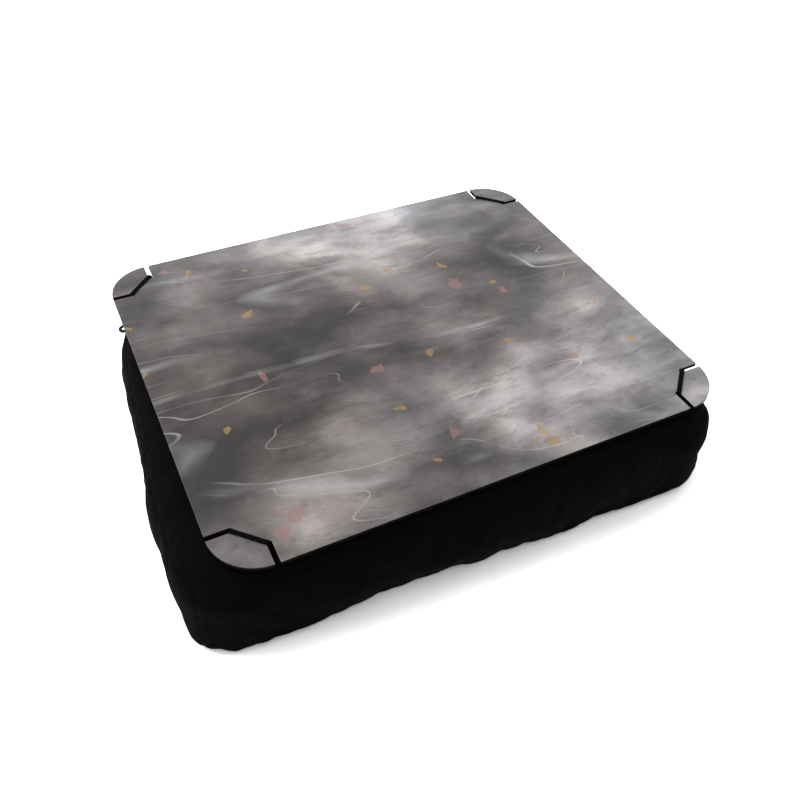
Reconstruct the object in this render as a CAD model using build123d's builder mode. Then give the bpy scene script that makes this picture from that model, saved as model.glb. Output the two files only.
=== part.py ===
from build123d import *
import os
from math import cos, radians, sin, sqrt

os.makedirs("parts", exist_ok=True)

# A lap tray: a printed hardboard panel held on a bead-filled cushion by four elastic corner straps.
# Millimetres. The origin is on the floor below the middle of the board, X runs along the board's
# long front edge to the right, Y runs to the back and Z is up.

# Board
board_width = 400
board_depth = 343
board_corner_radius = 35
board_thickness = 3
print_thickness = 0.4
print_edge_round = 0.2
notch_from_corner = 36.2
notch_width = 3.8
notch_depth = 18.5

# Cushion: how far its fullest outline stands past the board's edges, or stops short of them
cushion_height = 76
short_of_left_at_back = 3
past_left_at_front = 32
past_right_at_back = 6
past_right_at_front = 0.5
past_front_at_left = 3.5
past_front_at_right = 17
short_of_back = 1.5
left_bow = 6.5
front_bow = 2.5
right_bow = 4
front_corner_radius = 41
back_corner_radius = 20

# Cushion wall: it rolls under at the floor and over at the top on quarter ellipses
foot_roll = 13
foot_height = 8
shoulder_roll = 25
shoulder_height = 29
roll_steps = 6
wall_steps = 6

# Cloth, bag and the room between them
cover_cloth = 1
bag_film = 0.6
layer_gap = 0.4
rest_gap = 0.3
shoulder_seam_drop = 10
foot_seam_rise = 4

# Elastic corner straps
strap_width = 3.6
strap_thickness = 1
strap_bend_radius = 1
strap_from_notch_end = 0.9

# Zip along the back wall
zip_height_share = 0.5
zip_opening = 9
zip_end_margin = 1
tape_lap = 4
tape_end = 2
tape_thickness = 0.6
row_height = 2.2
row_depth = 1.8
row_gap = 1.4
stop_length = 3
recess_margin = 0.6

# Zip slider
slider_length = 12
slider_height = 8
slider_plate = 1.2
slider_corner_radius = 2.4
slider_clearance = 0.3
slider_stop_gap = 0.4
flange_height = 0.8
flange_length = 6
post_length = 2.5
post_height = 0.8
bridge_length = 5.8
bridge_leg = 0.8
bridge_height = 1.4
bridge_tunnel = 2
bridge_crown = 0.9

# Zip puller
puller_length = 41.5
puller_width = 7.4
puller_thickness = 1.4
puller_end_radius = 3
puller_droop_degrees = 31
bar_radius = 0.6
loop_arm = 0.8
loop_length = 4.2
pull_hole_diameter = 3
pull_hole_from_end = 4.5

# Cuts run past what they cut by this much
overrun = 20

half_width = board_width / 2
half_depth = board_depth / 2
board_base = cushion_height + rest_gap
print_base = board_base + board_thickness
board_top = print_base + print_thickness


def board_blank(base):
    """The board's outline with its eight strap notches, as a face at height base."""
    with BuildSketch(Plane.XY.offset(base)) as blank:
        RectangleRounded(board_width, board_depth, board_corner_radius)
        for side in (-1, 1):
            for end in (-1, 1):
                with Locations((side * (half_width - notch_from_corner), end * half_depth)):
                    SlotOverall(2 * notch_depth, notch_width, rotation=90, mode=Mode.SUBTRACT)
                with Locations((side * half_width, end * (half_depth - notch_from_corner))):
                    SlotOverall(2 * notch_depth, notch_width, mode=Mode.SUBTRACT)
    return blank.sketch


# Tray: the hardboard panel and the printed skin bonded to its top
with BuildPart() as tray_core:
    extrude(board_blank(board_base), amount=board_thickness)

with BuildPart() as print_face:
    extrude(board_blank(print_base), amount=print_thickness)
    fillet(print_face.edges().group_by(Axis.Z)[-1], print_edge_round)

# Fullest outline of the cushion, as the corners that its four sides would meet in
back_line = half_depth - short_of_back
back_left = Vector(-half_width + short_of_left_at_back, back_line)
front_left = Vector(-half_width - past_left_at_front, -half_depth - past_front_at_left)
front_right = Vector(half_width + past_right_at_front, -half_depth - past_front_at_right)
back_right = Vector(half_width + past_right_at_back, back_line)


# Heights up the cushion's wall, each with how far the wall has drawn in there
shoulder_base = cushion_height - shoulder_height
roll_turns = [radians(90 * step / roll_steps) for step in range(roll_steps + 1)]
foot_levels = [(foot_height * (1 - cos(turn)), foot_roll * (1 - sin(turn))) for turn in roll_turns]
wall_levels = [
    (foot_height + (shoulder_base - foot_height) * step / wall_steps, 0)
    for step in range(1, wall_steps)
]
shoulder_levels = [
    (shoulder_base + shoulder_height * sin(turn), shoulder_roll * (1 - cos(turn)))
    for turn in roll_turns
]


def bowed_side(start, end, bow):
    """A side of the outline from start to end, its middle bow outside the straight line."""
    outward = (end - start).normalized().rotate(Axis.Z, -90)
    ThreePointArc(start, (start + end) / 2 + outward * bow, end)


def cushion_section(skin, height, roll):
    """The cushion's outline at a height where the wall has drawn in by roll, drawn in by skin."""
    inset = skin + roll
    level = skin + height * (cushion_height - 2 * skin) / cushion_height
    with BuildSketch(Plane.XY.offset(level)) as section:
        with BuildLine():
            left_back = back_left + Vector(inset, -inset)
            left_front = front_left + Vector(inset, inset)
            right_front = front_right + Vector(-inset, inset)
            right_back = back_right + Vector(-inset, -inset)
            bowed_side(left_back, left_front, left_bow)
            bowed_side(left_front, right_front, front_bow)
            bowed_side(right_front, right_back, right_bow)
            Line(right_back, left_back)
        make_face()
        fillet(section.vertices().sort_by(Axis.Y)[:2], front_corner_radius - skin)
        fillet(section.vertices().sort_by(Axis.Y)[-2:], back_corner_radius - skin)
    return section.sketch


def cushion_form(skin):
    """The cushion's form as one solid, drawn in by skin on every side."""
    levels = foot_levels + wall_levels + shoulder_levels
    sections = [cushion_section(skin, *level) for level in levels]
    with BuildPart() as form:
        loft(sections)
        split(bisect_by=Plane.XY.offset(cushion_height - skin), keep=Keep.BOTTOM)
        split(bisect_by=Plane.XY.offset(skin), keep=Keep.TOP)
    return form.part


bag_skin = cover_cloth + layer_gap
void_skin = bag_skin + bag_film
fill_skin = void_skin + layer_gap
cover_outside = cushion_form(0)
cover_inside = cushion_form(cover_cloth)

# Straps: each crosses its corner just inside the ends of two notches, where its legs go down
leg_depth = notch_depth - notch_width / 2 - strap_from_notch_end
strap_from_corner = (notch_from_corner + leg_depth) / sqrt(2)
leg_spread = (notch_from_corner - leg_depth) / sqrt(2)
strap_middle = board_top + rest_gap + strap_thickness / 2


def strap_arch(side, end):
    """One strap as a bar over the board's corner with a leg down through each notch."""
    inward = Vector(-side, -end).normalized()
    corner = Vector(side * half_width, end * half_depth)
    edge = corner + inward * (strap_from_corner - strap_width / 2)
    with BuildPart() as arch:
        with BuildSketch(Plane(origin=edge, x_dir=inward.rotate(Axis.Z, 90), z_dir=inward)):
            with BuildLine():
                FilletPolyline(
                    (-leg_spread, shoulder_base),
                    (-leg_spread, strap_middle),
                    (leg_spread, strap_middle),
                    (leg_spread, shoulder_base),
                    radius=strap_bend_radius,
                )
            trace(line_width=strap_thickness)
        extrude(amount=strap_width)
    return arch.part


strap_corners = {
    "strap_front_left": (-1, -1),
    "strap_front_right": (1, -1),
    "strap_back_left": (-1, 1),
    "strap_back_right": (1, 1),
}
arches = {name: strap_arch(*corner) for name, corner in strap_corners.items()}
pieces = {"tray_core": tray_core.part, "print_face": print_face.part}
for name, arch in arches.items():
    with BuildPart() as strap:
        add(arch)
        add(cover_inside, mode=Mode.SUBTRACT)
    pieces[name] = strap.part

# Cover: one sewn shell, with a slit for each strap leg, cut along its seams into panels
with BuildPart() as cover_shell:
    add(cover_outside)
    add(cover_inside, mode=Mode.SUBTRACT)
    for arch in arches.values():
        add(arch, mode=Mode.SUBTRACT)

shoulder_seam = Plane.XY.offset(cushion_height - shoulder_seam_drop)
foot_seam = Plane.XY.offset(foot_seam_rise)
outline_middle = (back_left + front_left + front_right + back_right) / 4


def corner_seam(corner):
    """The upright plane of a corner's seam, facing anticlockwise round the cushion."""
    return Plane(origin=corner, z_dir=(corner - outline_middle).rotate(Axis.Z, 90))


def side_band(first, last):
    """The cover's wall from one corner's seam anticlockwise to the next."""
    with BuildPart() as band:
        add(cover_shell.part)
        split(bisect_by=shoulder_seam, keep=Keep.BOTTOM)
        split(bisect_by=foot_seam, keep=Keep.TOP)
        split(bisect_by=corner_seam(first), keep=Keep.TOP)
        split(bisect_by=corner_seam(last), keep=Keep.BOTTOM)
    return band.part


with BuildPart() as cover_top_panel:
    add(cover_shell.part)
    split(bisect_by=shoulder_seam, keep=Keep.TOP)

with BuildPart() as cover_bottom_panel:
    add(cover_shell.part)
    split(bisect_by=foot_seam, keep=Keep.BOTTOM)

# Zip: it opens the whole straight stretch of the back wall, half way up
zip_height = cushion_height * zip_height_share
zip_seam = Plane.XY.offset(zip_height)
straight_half = min(-back_left.X, back_right.X) - back_corner_radius
row_half = straight_half - stop_length - tape_end - zip_end_margin
tape_half = row_half + stop_length + tape_end
tape_face = back_line - cover_cloth - rest_gap
row_middle = tape_face - tape_thickness / 2
tape_edge = row_gap / 2 + row_height
tape_reach = zip_opening / 2 + tape_lap
plate_inner = row_depth / 2 + slider_clearance
plate_outer = plate_inner + slider_plate
recess_face = row_middle - plate_outer - recess_margin

with BuildPart() as zip_slot:
    with Locations((0, back_line, zip_height)):
        Box(2 * tape_half, 2 * overrun, zip_opening)

for name, side in (("cover_back_band_upper", Keep.TOP), ("cover_back_band_lower", Keep.BOTTOM)):
    with BuildPart() as back_band:
        add(side_band(back_right, back_left))
        add(zip_slot.part, mode=Mode.SUBTRACT)
        split(bisect_by=zip_seam, keep=side)
    pieces[name] = back_band.part

for name, side in (("upper", 1), ("lower", -1)):
    with BuildPart() as zip_tape:
        with Locations((0, row_middle, zip_height + side * (tape_edge + tape_reach) / 2)):
            Box(2 * tape_half, tape_thickness, tape_reach - tape_edge)
    pieces[f"zip_tape_{name}"] = zip_tape.part
    with BuildPart() as zip_row:
        with Locations((0, row_middle, zip_height + side * (row_gap + row_height) / 2)):
            Box(2 * row_half, row_depth, row_height)
    pieces[f"zip_row_{name}"] = zip_row.part

with BuildPart() as zip_end_stops:
    for side in (-1, 1):
        with Locations((side * (row_half + stop_length / 2), row_middle, zip_height)):
            Box(stop_length, row_depth, 2 * tape_edge)

# Slider, parked at the left end: two plates joined by a post that runs between the rows, with
# flanges round the tape edges and a bridge for the puller's bar
slider_rest = -(row_half - slider_stop_gap - slider_length / 2)
slider_plane = Plane(origin=(slider_rest, row_middle, zip_height), x_dir=(1, 0, 0), z_dir=(0, 1, 0))
flange_base = tape_thickness / 2 + slider_clearance
nose = slider_corner_radius + post_length / 2 - slider_length / 2
with BuildPart() as zip_slider:
    with BuildSketch(slider_plane.offset(plate_inner)):
        RectangleRounded(slider_length, slider_height, slider_corner_radius)
    extrude(amount=slider_plate)
    with BuildSketch(slider_plane.offset(flange_base)):
        for side in (-1, 1):
            with Locations((0, side * (slider_height - flange_height) / 2)):
                Rectangle(flange_length, flange_height)
    extrude(amount=plate_inner - flange_base)
    with BuildSketch(slider_plane):
        with Locations((nose, 0)):
            Rectangle(post_length, post_height)
    extrude(amount=plate_inner)
    mirror(about=slider_plane)
    with BuildSketch(slider_plane.offset(plate_outer)):
        Rectangle(bridge_length, bridge_height)
    extrude(amount=bridge_tunnel + bridge_crown)
    with BuildSketch(slider_plane.offset(plate_outer)):
        Rectangle(bridge_length - 2 * bridge_leg, bridge_height)
    extrude(amount=bridge_tunnel, mode=Mode.SUBTRACT)

# Puller: its bar turns in the bridge, and its tab lies along the wall, drooping to the left
droop = radians(puller_droop_degrees)
bar_height = plate_outer + bridge_tunnel / 2
puller_plane = Plane(
    origin=slider_plane.offset(bar_height).origin,
    x_dir=(-cos(droop), 0, -sin(droop)),
    z_dir=(0, 1, 0),
)
with BuildPart() as zip_puller:
    with BuildSketch(puller_plane) as outline:
        Rectangle(puller_length, puller_width, align=(Align.MIN, Align.CENTER))
        fillet(outline.vertices().group_by(Axis.X)[-1], puller_end_radius)
        Rectangle(2 * loop_length, puller_width - 2 * loop_arm, mode=Mode.SUBTRACT)
        with Locations((puller_length - pull_hole_from_end, 0)):
            Circle(pull_hole_diameter / 2, mode=Mode.SUBTRACT)
    extrude(amount=puller_thickness / 2, both=True)
    with BuildSketch(Plane(origin=puller_plane.origin, z_dir=puller_plane.y_dir)):
        Circle(bar_radius)
    extrude(amount=puller_width / 2, both=True)


# Bag and filling: both are pushed in along the back of the zip
def zip_recess(grow):
    """The room behind the zip, larger by grow on every side."""
    with BuildPart() as recess:
        with Locations((0, recess_face - grow, zip_height)):
            Box(
                2 * (tape_half + recess_margin + grow),
                overrun,
                2 * (tape_reach + recess_margin + grow),
                align=(Align.CENTER, Align.MIN, Align.CENTER),
            )
    return recess.part


with BuildPart() as bag_void:
    add(cushion_form(void_skin))
    add(zip_recess(bag_film), mode=Mode.SUBTRACT)

with BuildPart() as inner_bag:
    add(cushion_form(bag_skin))
    add(zip_recess(0), mode=Mode.SUBTRACT)
    add(bag_void.part, mode=Mode.SUBTRACT)

with BuildPart() as bead_filling:
    add(cushion_form(fill_skin))
    add(zip_recess(bag_film + layer_gap), mode=Mode.SUBTRACT)

pieces.update(
    {
        "cover_top_panel": cover_top_panel.part,
        "cover_bottom_panel": cover_bottom_panel.part,
        "cover_front_band": side_band(front_left, front_right),
        "cover_right_band": side_band(front_right, back_right),
        "cover_left_band": side_band(back_left, front_left),
        "zip_end_stops": zip_end_stops.part,
        "zip_slider": zip_slider.part,
        "zip_puller": zip_puller.part,
        "inner_bag": inner_bag.part,
        "bead_filling": bead_filling.part,
    }
)
for name, piece in pieces.items():
    piece.label = name
    export_step(piece, f"parts/{name}.step")

print("board top", board_top)
print("zip axis", slider_plane.origin, "range", 2 * abs(slider_rest))
print("puller bar", puller_plane.origin, "along", -puller_plane.y_dir)
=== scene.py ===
# %% [markdown]
# # A lap tray on a bead cushion
#
# The real object is a printed hardboard panel lying on a flat cushion full of light beads. Four
# narrow elastic straps, sewn to the cushion, hook over the board's corners through small notches.
# A zip in the back wall lets the bead bag out, so that the cover can be washed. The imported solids
# give every place and size. The cells below dress them: cloth, elastic, zip teeth, print and light.

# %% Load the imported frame
import math

import bmesh
import bpy
import numpy as np
from mathutils import Euler, Matrix, Vector, noise
from mathutils.bvhtree import BVHTree


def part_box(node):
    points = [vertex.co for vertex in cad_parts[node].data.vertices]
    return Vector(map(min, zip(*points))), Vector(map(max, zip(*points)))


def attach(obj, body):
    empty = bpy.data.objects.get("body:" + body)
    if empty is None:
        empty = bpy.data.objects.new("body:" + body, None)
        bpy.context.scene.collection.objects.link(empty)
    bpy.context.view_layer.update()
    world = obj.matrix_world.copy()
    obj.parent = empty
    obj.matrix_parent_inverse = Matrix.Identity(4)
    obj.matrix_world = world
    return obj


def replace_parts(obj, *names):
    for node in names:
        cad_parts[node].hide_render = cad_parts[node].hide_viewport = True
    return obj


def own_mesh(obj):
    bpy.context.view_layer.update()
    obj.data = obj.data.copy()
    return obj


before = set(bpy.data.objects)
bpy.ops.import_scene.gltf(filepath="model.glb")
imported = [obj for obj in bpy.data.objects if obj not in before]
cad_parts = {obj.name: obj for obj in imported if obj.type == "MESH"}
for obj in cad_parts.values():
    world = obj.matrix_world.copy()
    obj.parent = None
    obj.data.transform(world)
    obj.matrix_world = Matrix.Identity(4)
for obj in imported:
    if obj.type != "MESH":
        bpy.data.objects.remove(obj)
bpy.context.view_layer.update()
print("solids loaded:", len(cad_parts))

# %% [markdown]
# ## The camera
#
# A camera is a place, a direction and a lens. These numbers came from matching the board's four
# straight edges to the photograph, which fixes all of them at once. The lens is long for such a
# near view, so the board's far edge is only a little shorter than its near one.

# %% Camera
board_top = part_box("print_face")[1].z
camera_place = Vector((-0.2305, -0.4568, board_top + 0.4245))
camera_turn = math.radians(27.32)
camera_down = math.radians(44.55)
camera_roll = math.radians(2.02)

camera_data = bpy.data.cameras.new("camera")
camera_data.sensor_width = 36
camera_data.lens = 36.44
camera_data.clip_start = 0.02
camera = bpy.data.objects.new("camera", camera_data)
bpy.context.scene.collection.objects.link(camera)
aim = Euler((math.pi / 2 - camera_down, 0, -camera_turn)).to_matrix()
camera.matrix_world = Matrix.Translation(camera_place) @ (
    aim @ Matrix.Rotation(camera_roll, 3, "Z")
).to_4x4()
bpy.context.scene.camera = camera
print("camera stands", round(camera_place.length, 3), "m from the origin")

# %% [markdown]
# ## Small helpers
#
# Every piece ends as a mesh made of points and faces, so one helper turns such lists into an
# object that takes a material and rides on its body.


# %% Helpers for meshes
def make_piece(name, points, faces, material, body, smooth=True):
    """A new mesh object from points and faces, in metres, riding on one body of the frame."""
    mesh = bpy.data.meshes.new(name)
    mesh.from_pydata([tuple(p) for p in points], [], [tuple(f) for f in faces])
    mesh.update()
    mesh.materials.append(material)
    mesh.polygons.foreach_set("use_smooth", [smooth] * len(mesh.polygons))
    piece = bpy.data.objects.new(name, mesh)
    bpy.context.scene.collection.objects.link(piece)
    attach(piece, body)
    return piece


def unit(vector):
    """The same direction with a length of one."""
    return vector / np.linalg.norm(vector, axis=-1, keepdims=True)


def ring_faces(rings, size, first=0):
    """Faces between rings of points that follow one another, as on an open tube."""
    faces = []
    for ring in range(rings - 1):
        low, high = first + ring * size, first + (ring + 1) * size
        for k in range(size):
            after = (k + 1) % size
            faces.append((low + k, low + after, high + after, high + k))
    return faces


def tube_faces(rings, size, first=0):
    """The faces of a tube, closed with one flat face at each end."""
    last = first + (rings - 1) * size
    ends = [tuple(range(first, first + size))[::-1], tuple(range(last, last + size))]
    return ring_faces(rings, size, first) + ends


def soft_noise(points, wavelength, shift):
    """Smooth random values from -1 to 1 that change over about a wavelength."""
    offset = Vector((shift, 1.7 * shift, -shift))
    return np.array([noise.noise(Vector(p) / wavelength + offset) for p in points])


print("a tube of 3 rings of 4 points has", len(tube_faces(3, 4)), "faces")

# %% [markdown]
# ## Building materials from nodes
#
# A material here is a small network that works out colour, roughness and tiny bumps at each point
# of the surface. One helper adds a node and joins its inputs, and effects that several materials
# use, such as a woven cloth, become node groups: built once, then placed with their own values.


# %% Adding and joining nodes
def put(tree, kind, inputs=None, **settings):
    """Adds a node. An input that is a socket is linked, and any other value is set."""
    node = tree.nodes.new(kind)
    for key, value in settings.items():
        setattr(node, key, value)
    for key, value in (inputs or {}).items():
        if isinstance(value, bpy.types.NodeSocket):
            tree.links.new(value, node.inputs[key])
        else:
            node.inputs[key].default_value = value
    return node


def math_node(tree, operation, first, second=0.5, clamp=False):
    """One sum on two values, as the output socket."""
    node = put(tree, "ShaderNodeMath", {0: first, 1: second}, operation=operation)
    node.use_clamp = clamp
    return node.outputs[0]


def fitted(tree, value, low=0.0, high=1.0, to_low=0.0, to_high=1.0):
    """A value from low to high, read again as one from to_low to to_high and kept inside them."""
    inputs = {0: value, 1: low, 2: high, 3: to_low, 4: to_high}
    return put(tree, "ShaderNodeMapRange", inputs).outputs[0]


def cloudy(tree, place, scale, detail):
    """Cloudy noise as a grey value. More detail adds finer clouds to the broad ones."""
    inputs = {"Vector": place, "Scale": scale, "Detail": detail}
    return put(tree, "ShaderNodeTexNoise", inputs).outputs[0]


def object_place(tree):
    """Each point's place on the object, in metres."""
    return put(tree, "ShaderNodeTexCoord").outputs["Object"]


def cut_cloth_place(tree):
    """Each point's place on the flat cut cloth, in metres, which the mesh carries."""
    return put(tree, "ShaderNodeUVMap", uv_map="flat_cloth").outputs["UV"]


print("helpers:", [f.__name__ for f in (put, math_node, fitted, cloudy, object_place)])


# %% Colours
def ramp(tree, value, stops):
    """A colour ramp from (position, colour) stops, as its colour socket."""
    node = put(tree, "ShaderNodeValToRGB", {0: value})
    while len(node.color_ramp.elements) < len(stops):
        node.color_ramp.elements.new(0.5)
    for element, (position, colour) in zip(node.color_ramp.elements, stops):
        element.position = position
        element.color = (*colour, 1)
    return node.outputs["Color"]


def mix_colour(tree, share, first, second, blend="MIX"):
    """Two colours mixed by a share, as the result socket."""
    node = put(tree, "ShaderNodeMix", {"Factor": share}, data_type="RGBA", blend_type=blend)
    for name, value in (("A", first), ("B", second)):
        socket = [s for s in node.inputs if s.name == name and s.type == "RGBA"][0]
        if isinstance(value, bpy.types.NodeSocket):
            tree.links.new(value, socket)
        else:
            socket.default_value = (*value, 1)
    return [s for s in node.outputs if s.type == "RGBA"][0]


def shades(colour, dark, light):
    """A darker and a lighter shade of one colour."""
    return [dark * c for c in colour], [light * c for c in colour]


print("two shades of mid grey:", shades((0.5, 0.5, 0.5), 0.8, 1.2))


# %% Groups and materials
def new_group(name, inputs, outputs):
    """An empty node group with named sockets, its input node and its output node."""
    tree = bpy.data.node_groups.new(name, "ShaderNodeTree")
    for label, kind, value in inputs:
        socket = tree.interface.new_socket(label, in_out="INPUT", socket_type=kind)
        if value is not None:
            socket.default_value = value
    for label, kind in outputs:
        tree.interface.new_socket(label, in_out="OUTPUT", socket_type=kind)
    return tree, put(tree, "NodeGroupInput"), put(tree, "NodeGroupOutput")


def place_group(tree, group, inputs):
    """One use of a node group in a material, with its own values, as its output sockets."""
    return put(tree, "ShaderNodeGroup", inputs, node_tree=group).outputs


def new_material(name, **principled):
    """A material with one Principled BSDF, whose plain values are given by name."""
    material = bpy.data.materials.new(name)
    material.use_nodes = True
    shader = material.node_tree.nodes["Principled BSDF"]
    for key, value in principled.items():
        shader.inputs[key.replace("_", " ")].default_value = value
    return material, material.node_tree, shader


def feed(node, **sockets):
    """Links what changes over the surface into a node's inputs, given by name."""
    for key, value in sockets.items():
        node.id_data.links.new(value, node.inputs[key.replace("_", " ")])


def bump(tree, height, strength, distance):
    """Tiny relief from a height, as a normal socket."""
    inputs = {"Height": height, "Strength": strength, "Distance": distance}
    return put(tree, "ShaderNodeBump", inputs).outputs["Normal"]


print("helpers:", [f.__name__ for f in (new_group, place_group, new_material, feed, bump)])


# %% [markdown]
# ## Woven cloth
#
# Polyester cover cloth is a plain weave: warp and weft threads pass over and under each other.
# Two sine waves across each other make the threads, and a checker says which thread is on top.
# Flat coordinates of the cut cloth, in metres, come from the mesh, so that the threads run
# straight along each panel and turn with it round the cushion, as cut cloth does. A picture of
# cloth could be laid on instead, but it would repeat, and blur close up.


# %% Weave group
weave_group, given, result = new_group(
    "plain_weave",
    [("Vector", "NodeSocketVector", None), ("Threads per metre", "NodeSocketFloat", 2000.0)],
    [("Height", "NodeSocketFloat")],
)
cut_place, thread_count = given.outputs["Vector"], given.outputs["Threads per metre"]
flat = put(weave_group, "ShaderNodeSeparateXYZ", {0: cut_place})
waves = []
for axis in (0, 1):
    threads = math_node(weave_group, "MULTIPLY", flat.outputs[axis], thread_count)
    turns = math_node(weave_group, "MULTIPLY", threads, math.pi)
    waves.append(math_node(weave_group, "ABSOLUTE", math_node(weave_group, "SINE", turns)))
warp_on_top = put(
    weave_group,
    "ShaderNodeTexChecker",
    {
        "Vector": cut_place,
        "Color1": (1, 1, 1, 1),
        "Color2": (0, 0, 0, 1),
        "Scale": thread_count,
    },
).outputs["Fac"]
weft_on_top = math_node(weave_group, "SUBTRACT", 1.0, warp_on_top)
warp = math_node(weave_group, "MULTIPLY", waves[0], warp_on_top)
weft = math_node(weave_group, "MULTIPLY", waves[1], weft_on_top)
feed(result, Height=math_node(weave_group, "ADD", warp, weft))
print("weave group has", len(weave_group.nodes), "nodes")

# %% [markdown]
# ## Lint and use
#
# Black cloth shows everything that lands on it. Fine lint is a sparse set of tiny specks, and
# handling leaves broad areas a little paler. Both could be painted by hand, but as masks from
# noise they cover any piece, and each material uses as much of them as its real surface has.


# %% Use group
use_group, given, result = new_group(
    "lint_and_use",
    [
        ("Vector", "NodeSocketVector", None),
        ("Speck scale", "NodeSocketFloat", 900.0),
        ("Speck share", "NodeSocketFloat", 0.05),
        ("Patch scale", "NodeSocketFloat", 12.0),
    ],
    [("Specks", "NodeSocketFloat"), ("Patches", "NodeSocketFloat")],
)
speck_radius = 0.28  # as a share of the space between specks
patch_detail = 4.0
surface_place = given.outputs["Vector"]
cells = put(
    use_group,
    "ShaderNodeTexVoronoi",
    {"Vector": surface_place, "Scale": given.outputs["Speck scale"]},
)
lot = put(use_group, "ShaderNodeSeparateColor", {0: cells.outputs["Color"]})
chosen = math_node(use_group, "LESS_THAN", lot.outputs[0], given.outputs["Speck share"])
near = math_node(use_group, "LESS_THAN", cells.outputs["Distance"], speck_radius)
feed(
    result,
    Specks=math_node(use_group, "MULTIPLY", chosen, near),
    Patches=cloudy(use_group, surface_place, given.outputs["Patch scale"], patch_detail),
)
print("use group has", len(use_group.nodes), "nodes")

# %% [markdown]
# ## Cover cloth, zip tape and bag cloth
#
# One recipe serves three cloths. Only thread count, colour, sheen and depth of the weave differ:
# the cover is a close black polyester, the zip tape a firm narrow weave, and the bag inside a
# thin pale cloth that nobody sees with the zip closed.


# %% Cloth materials
cloth_specular = 0.008
# The thread share paints raised threads paler and the gaps between them darker: painted light and
# shade on the weave.
patch_strength, thread_light_strength, lint_strength = 0.8, 0.35, 0.6


def cloth_material(name, colour, lint_colour, threads, depth, sheen, lint):
    """Woven cloth whose threads follow the mesh's own flat coordinates."""
    material, tree, shader = new_material(
        name, Specular_IOR_Level=cloth_specular, Sheen_Weight=sheen
    )
    weave_inputs = {"Vector": cut_cloth_place(tree), "Threads per metre": threads}
    weave = place_group(tree, weave_group, weave_inputs)["Height"]
    use = place_group(tree, use_group, {"Vector": object_place(tree), "Speck share": lint})
    # Real wear patches, plus raised threads painted paler than the gaps between them: painted light
    # and shade.
    worn = math_node(tree, "MULTIPLY", use["Patches"], patch_strength)
    lit_tops = math_node(tree, "MULTIPLY", weave, thread_light_strength)
    wear_and_thread_light = math_node(tree, "ADD", worn, lit_tops, clamp=True)
    tone = mix_colour(tree, wear_and_thread_light, *shades(colour, 0.72, 1.35))
    specks = math_node(tree, "MULTIPLY", use["Specks"], lint_strength)
    feed(
        shader,
        Base_Color=mix_colour(tree, specks, tone, lint_colour),
        Roughness=fitted(tree, weave, to_low=0.95, to_high=0.8),
        Normal=bump(tree, weave, 0.5, depth),
    )
    return material


cover_black, cover_lint = (0.0036, 0.0036, 0.0038), (0.016, 0.016, 0.016)
tape_black, tape_lint = (0.0028, 0.0028, 0.003), (0.012, 0.012, 0.012)
bag_white, bag_lint = (0.62, 0.61, 0.58), (0.8, 0.8, 0.8)
cover_cloth = cloth_material(
    "cover_cloth", cover_black, cover_lint, threads=1900.0, depth=0.00012, sheen=0.006, lint=0.001
)
tape_cloth = cloth_material(
    "tape_cloth", tape_black, tape_lint, threads=2600.0, depth=0.0001, sheen=0.01, lint=0.001
)
bag_cloth = cloth_material(
    "bag_cloth", bag_white, bag_lint, threads=1500.0, depth=0.0001, sheen=0.1, lint=0.002
)
print("cloths:", cover_cloth.name, tape_cloth.name, bag_cloth.name)

# %% [markdown]
# ## The cushion's outline
#
# Seen from above, the cushion is a rounded rectangle that lies a little askew under the board. It
# stands well past the board at the left and the front, and its sides bow outwards. The same few
# sizes that shaped its solid are repeated here, now in metres. A level of the cushion is four
# lines, each from the middle of one rounded corner to the middle of the next.

# %% Outline sizes
# The cushion's corners are the board's, plus or minus what stands past or falls short there.
half_width = 0.200
half_depth = 0.1715
cushion_height = 0.076
cushion_corners = np.array(
    [
        (-half_width - 0.032, -half_depth - 0.0035),
        (half_width + 0.0005, -half_depth - 0.017),
        (half_width + 0.006, half_depth - 0.0015),
        (-half_width + 0.003, half_depth - 0.0015),
    ]
)
corner_radii = (0.041, 0.041, 0.020, 0.020)
side_bows = (0.0025, 0.004, 0.0, 0.0065)
inward_signs = np.array([(1, 1), (-1, 1), (-1, -1), (1, -1)])
print("cushion corners:", cushion_corners.round(4).tolist())


# %% Outline lines
arc_points = 33
bow_points = 60


def corner_arc(points, k):
    """The rounded corner k of an outline, as points."""
    back = unit(points[k - 1] - points[k])
    ahead = unit(points[(k + 1) % 4] - points[k])
    half = math.acos(float(back @ ahead)) / 2
    centre = points[k] + unit(back + ahead) * corner_radii[k] / math.sin(half)
    reach = corner_radii[k] / math.tan(half)
    start, end = points[k] + back * reach - centre, points[k] + ahead * reach - centre
    first = math.atan2(start[1], start[0])
    turn = (math.atan2(end[1], end[0]) - first + math.pi) % (2 * math.pi) - math.pi
    angles = first + turn * np.linspace(0, 1, arc_points)
    return centre + corner_radii[k] * np.column_stack([np.cos(angles), np.sin(angles)])


def outline_sides(inset):
    """The front, right, back and left lines of the outline, drawn in by inset."""
    points = cushion_corners + inset * inward_signs
    arcs = [corner_arc(points, k) for k in range(4)]
    middle = arc_points // 2
    sides = []
    for k in range(4):
        arc, next_arc = arcs[k], arcs[(k + 1) % 4]
        run = next_arc[0] - arc[-1]
        outward = unit(np.array([run[1], -run[0]]))
        share = np.linspace(0, 1, bow_points)[:, None]
        bowed = arc[-1] + run * share + outward * side_bows[k] * 4 * share * (1 - share)
        sides.append(np.vstack([arc[middle:], bowed[1:-1], next_arc[: middle + 1]]))
    return sides


def read_line(line, shares):
    """Points at the given shares of a line's length."""
    steps = np.linalg.norm(np.diff(line, axis=0), axis=1)
    length = np.concatenate([[0], np.cumsum(steps)])
    at = np.asarray(shares) * length[-1]
    return np.column_stack([np.interp(at, length, line[:, k]) for k in range(line.shape[1])])


print("outline at the floor:", np.round(outline_sides(0.013)[0][0], 3))

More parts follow.
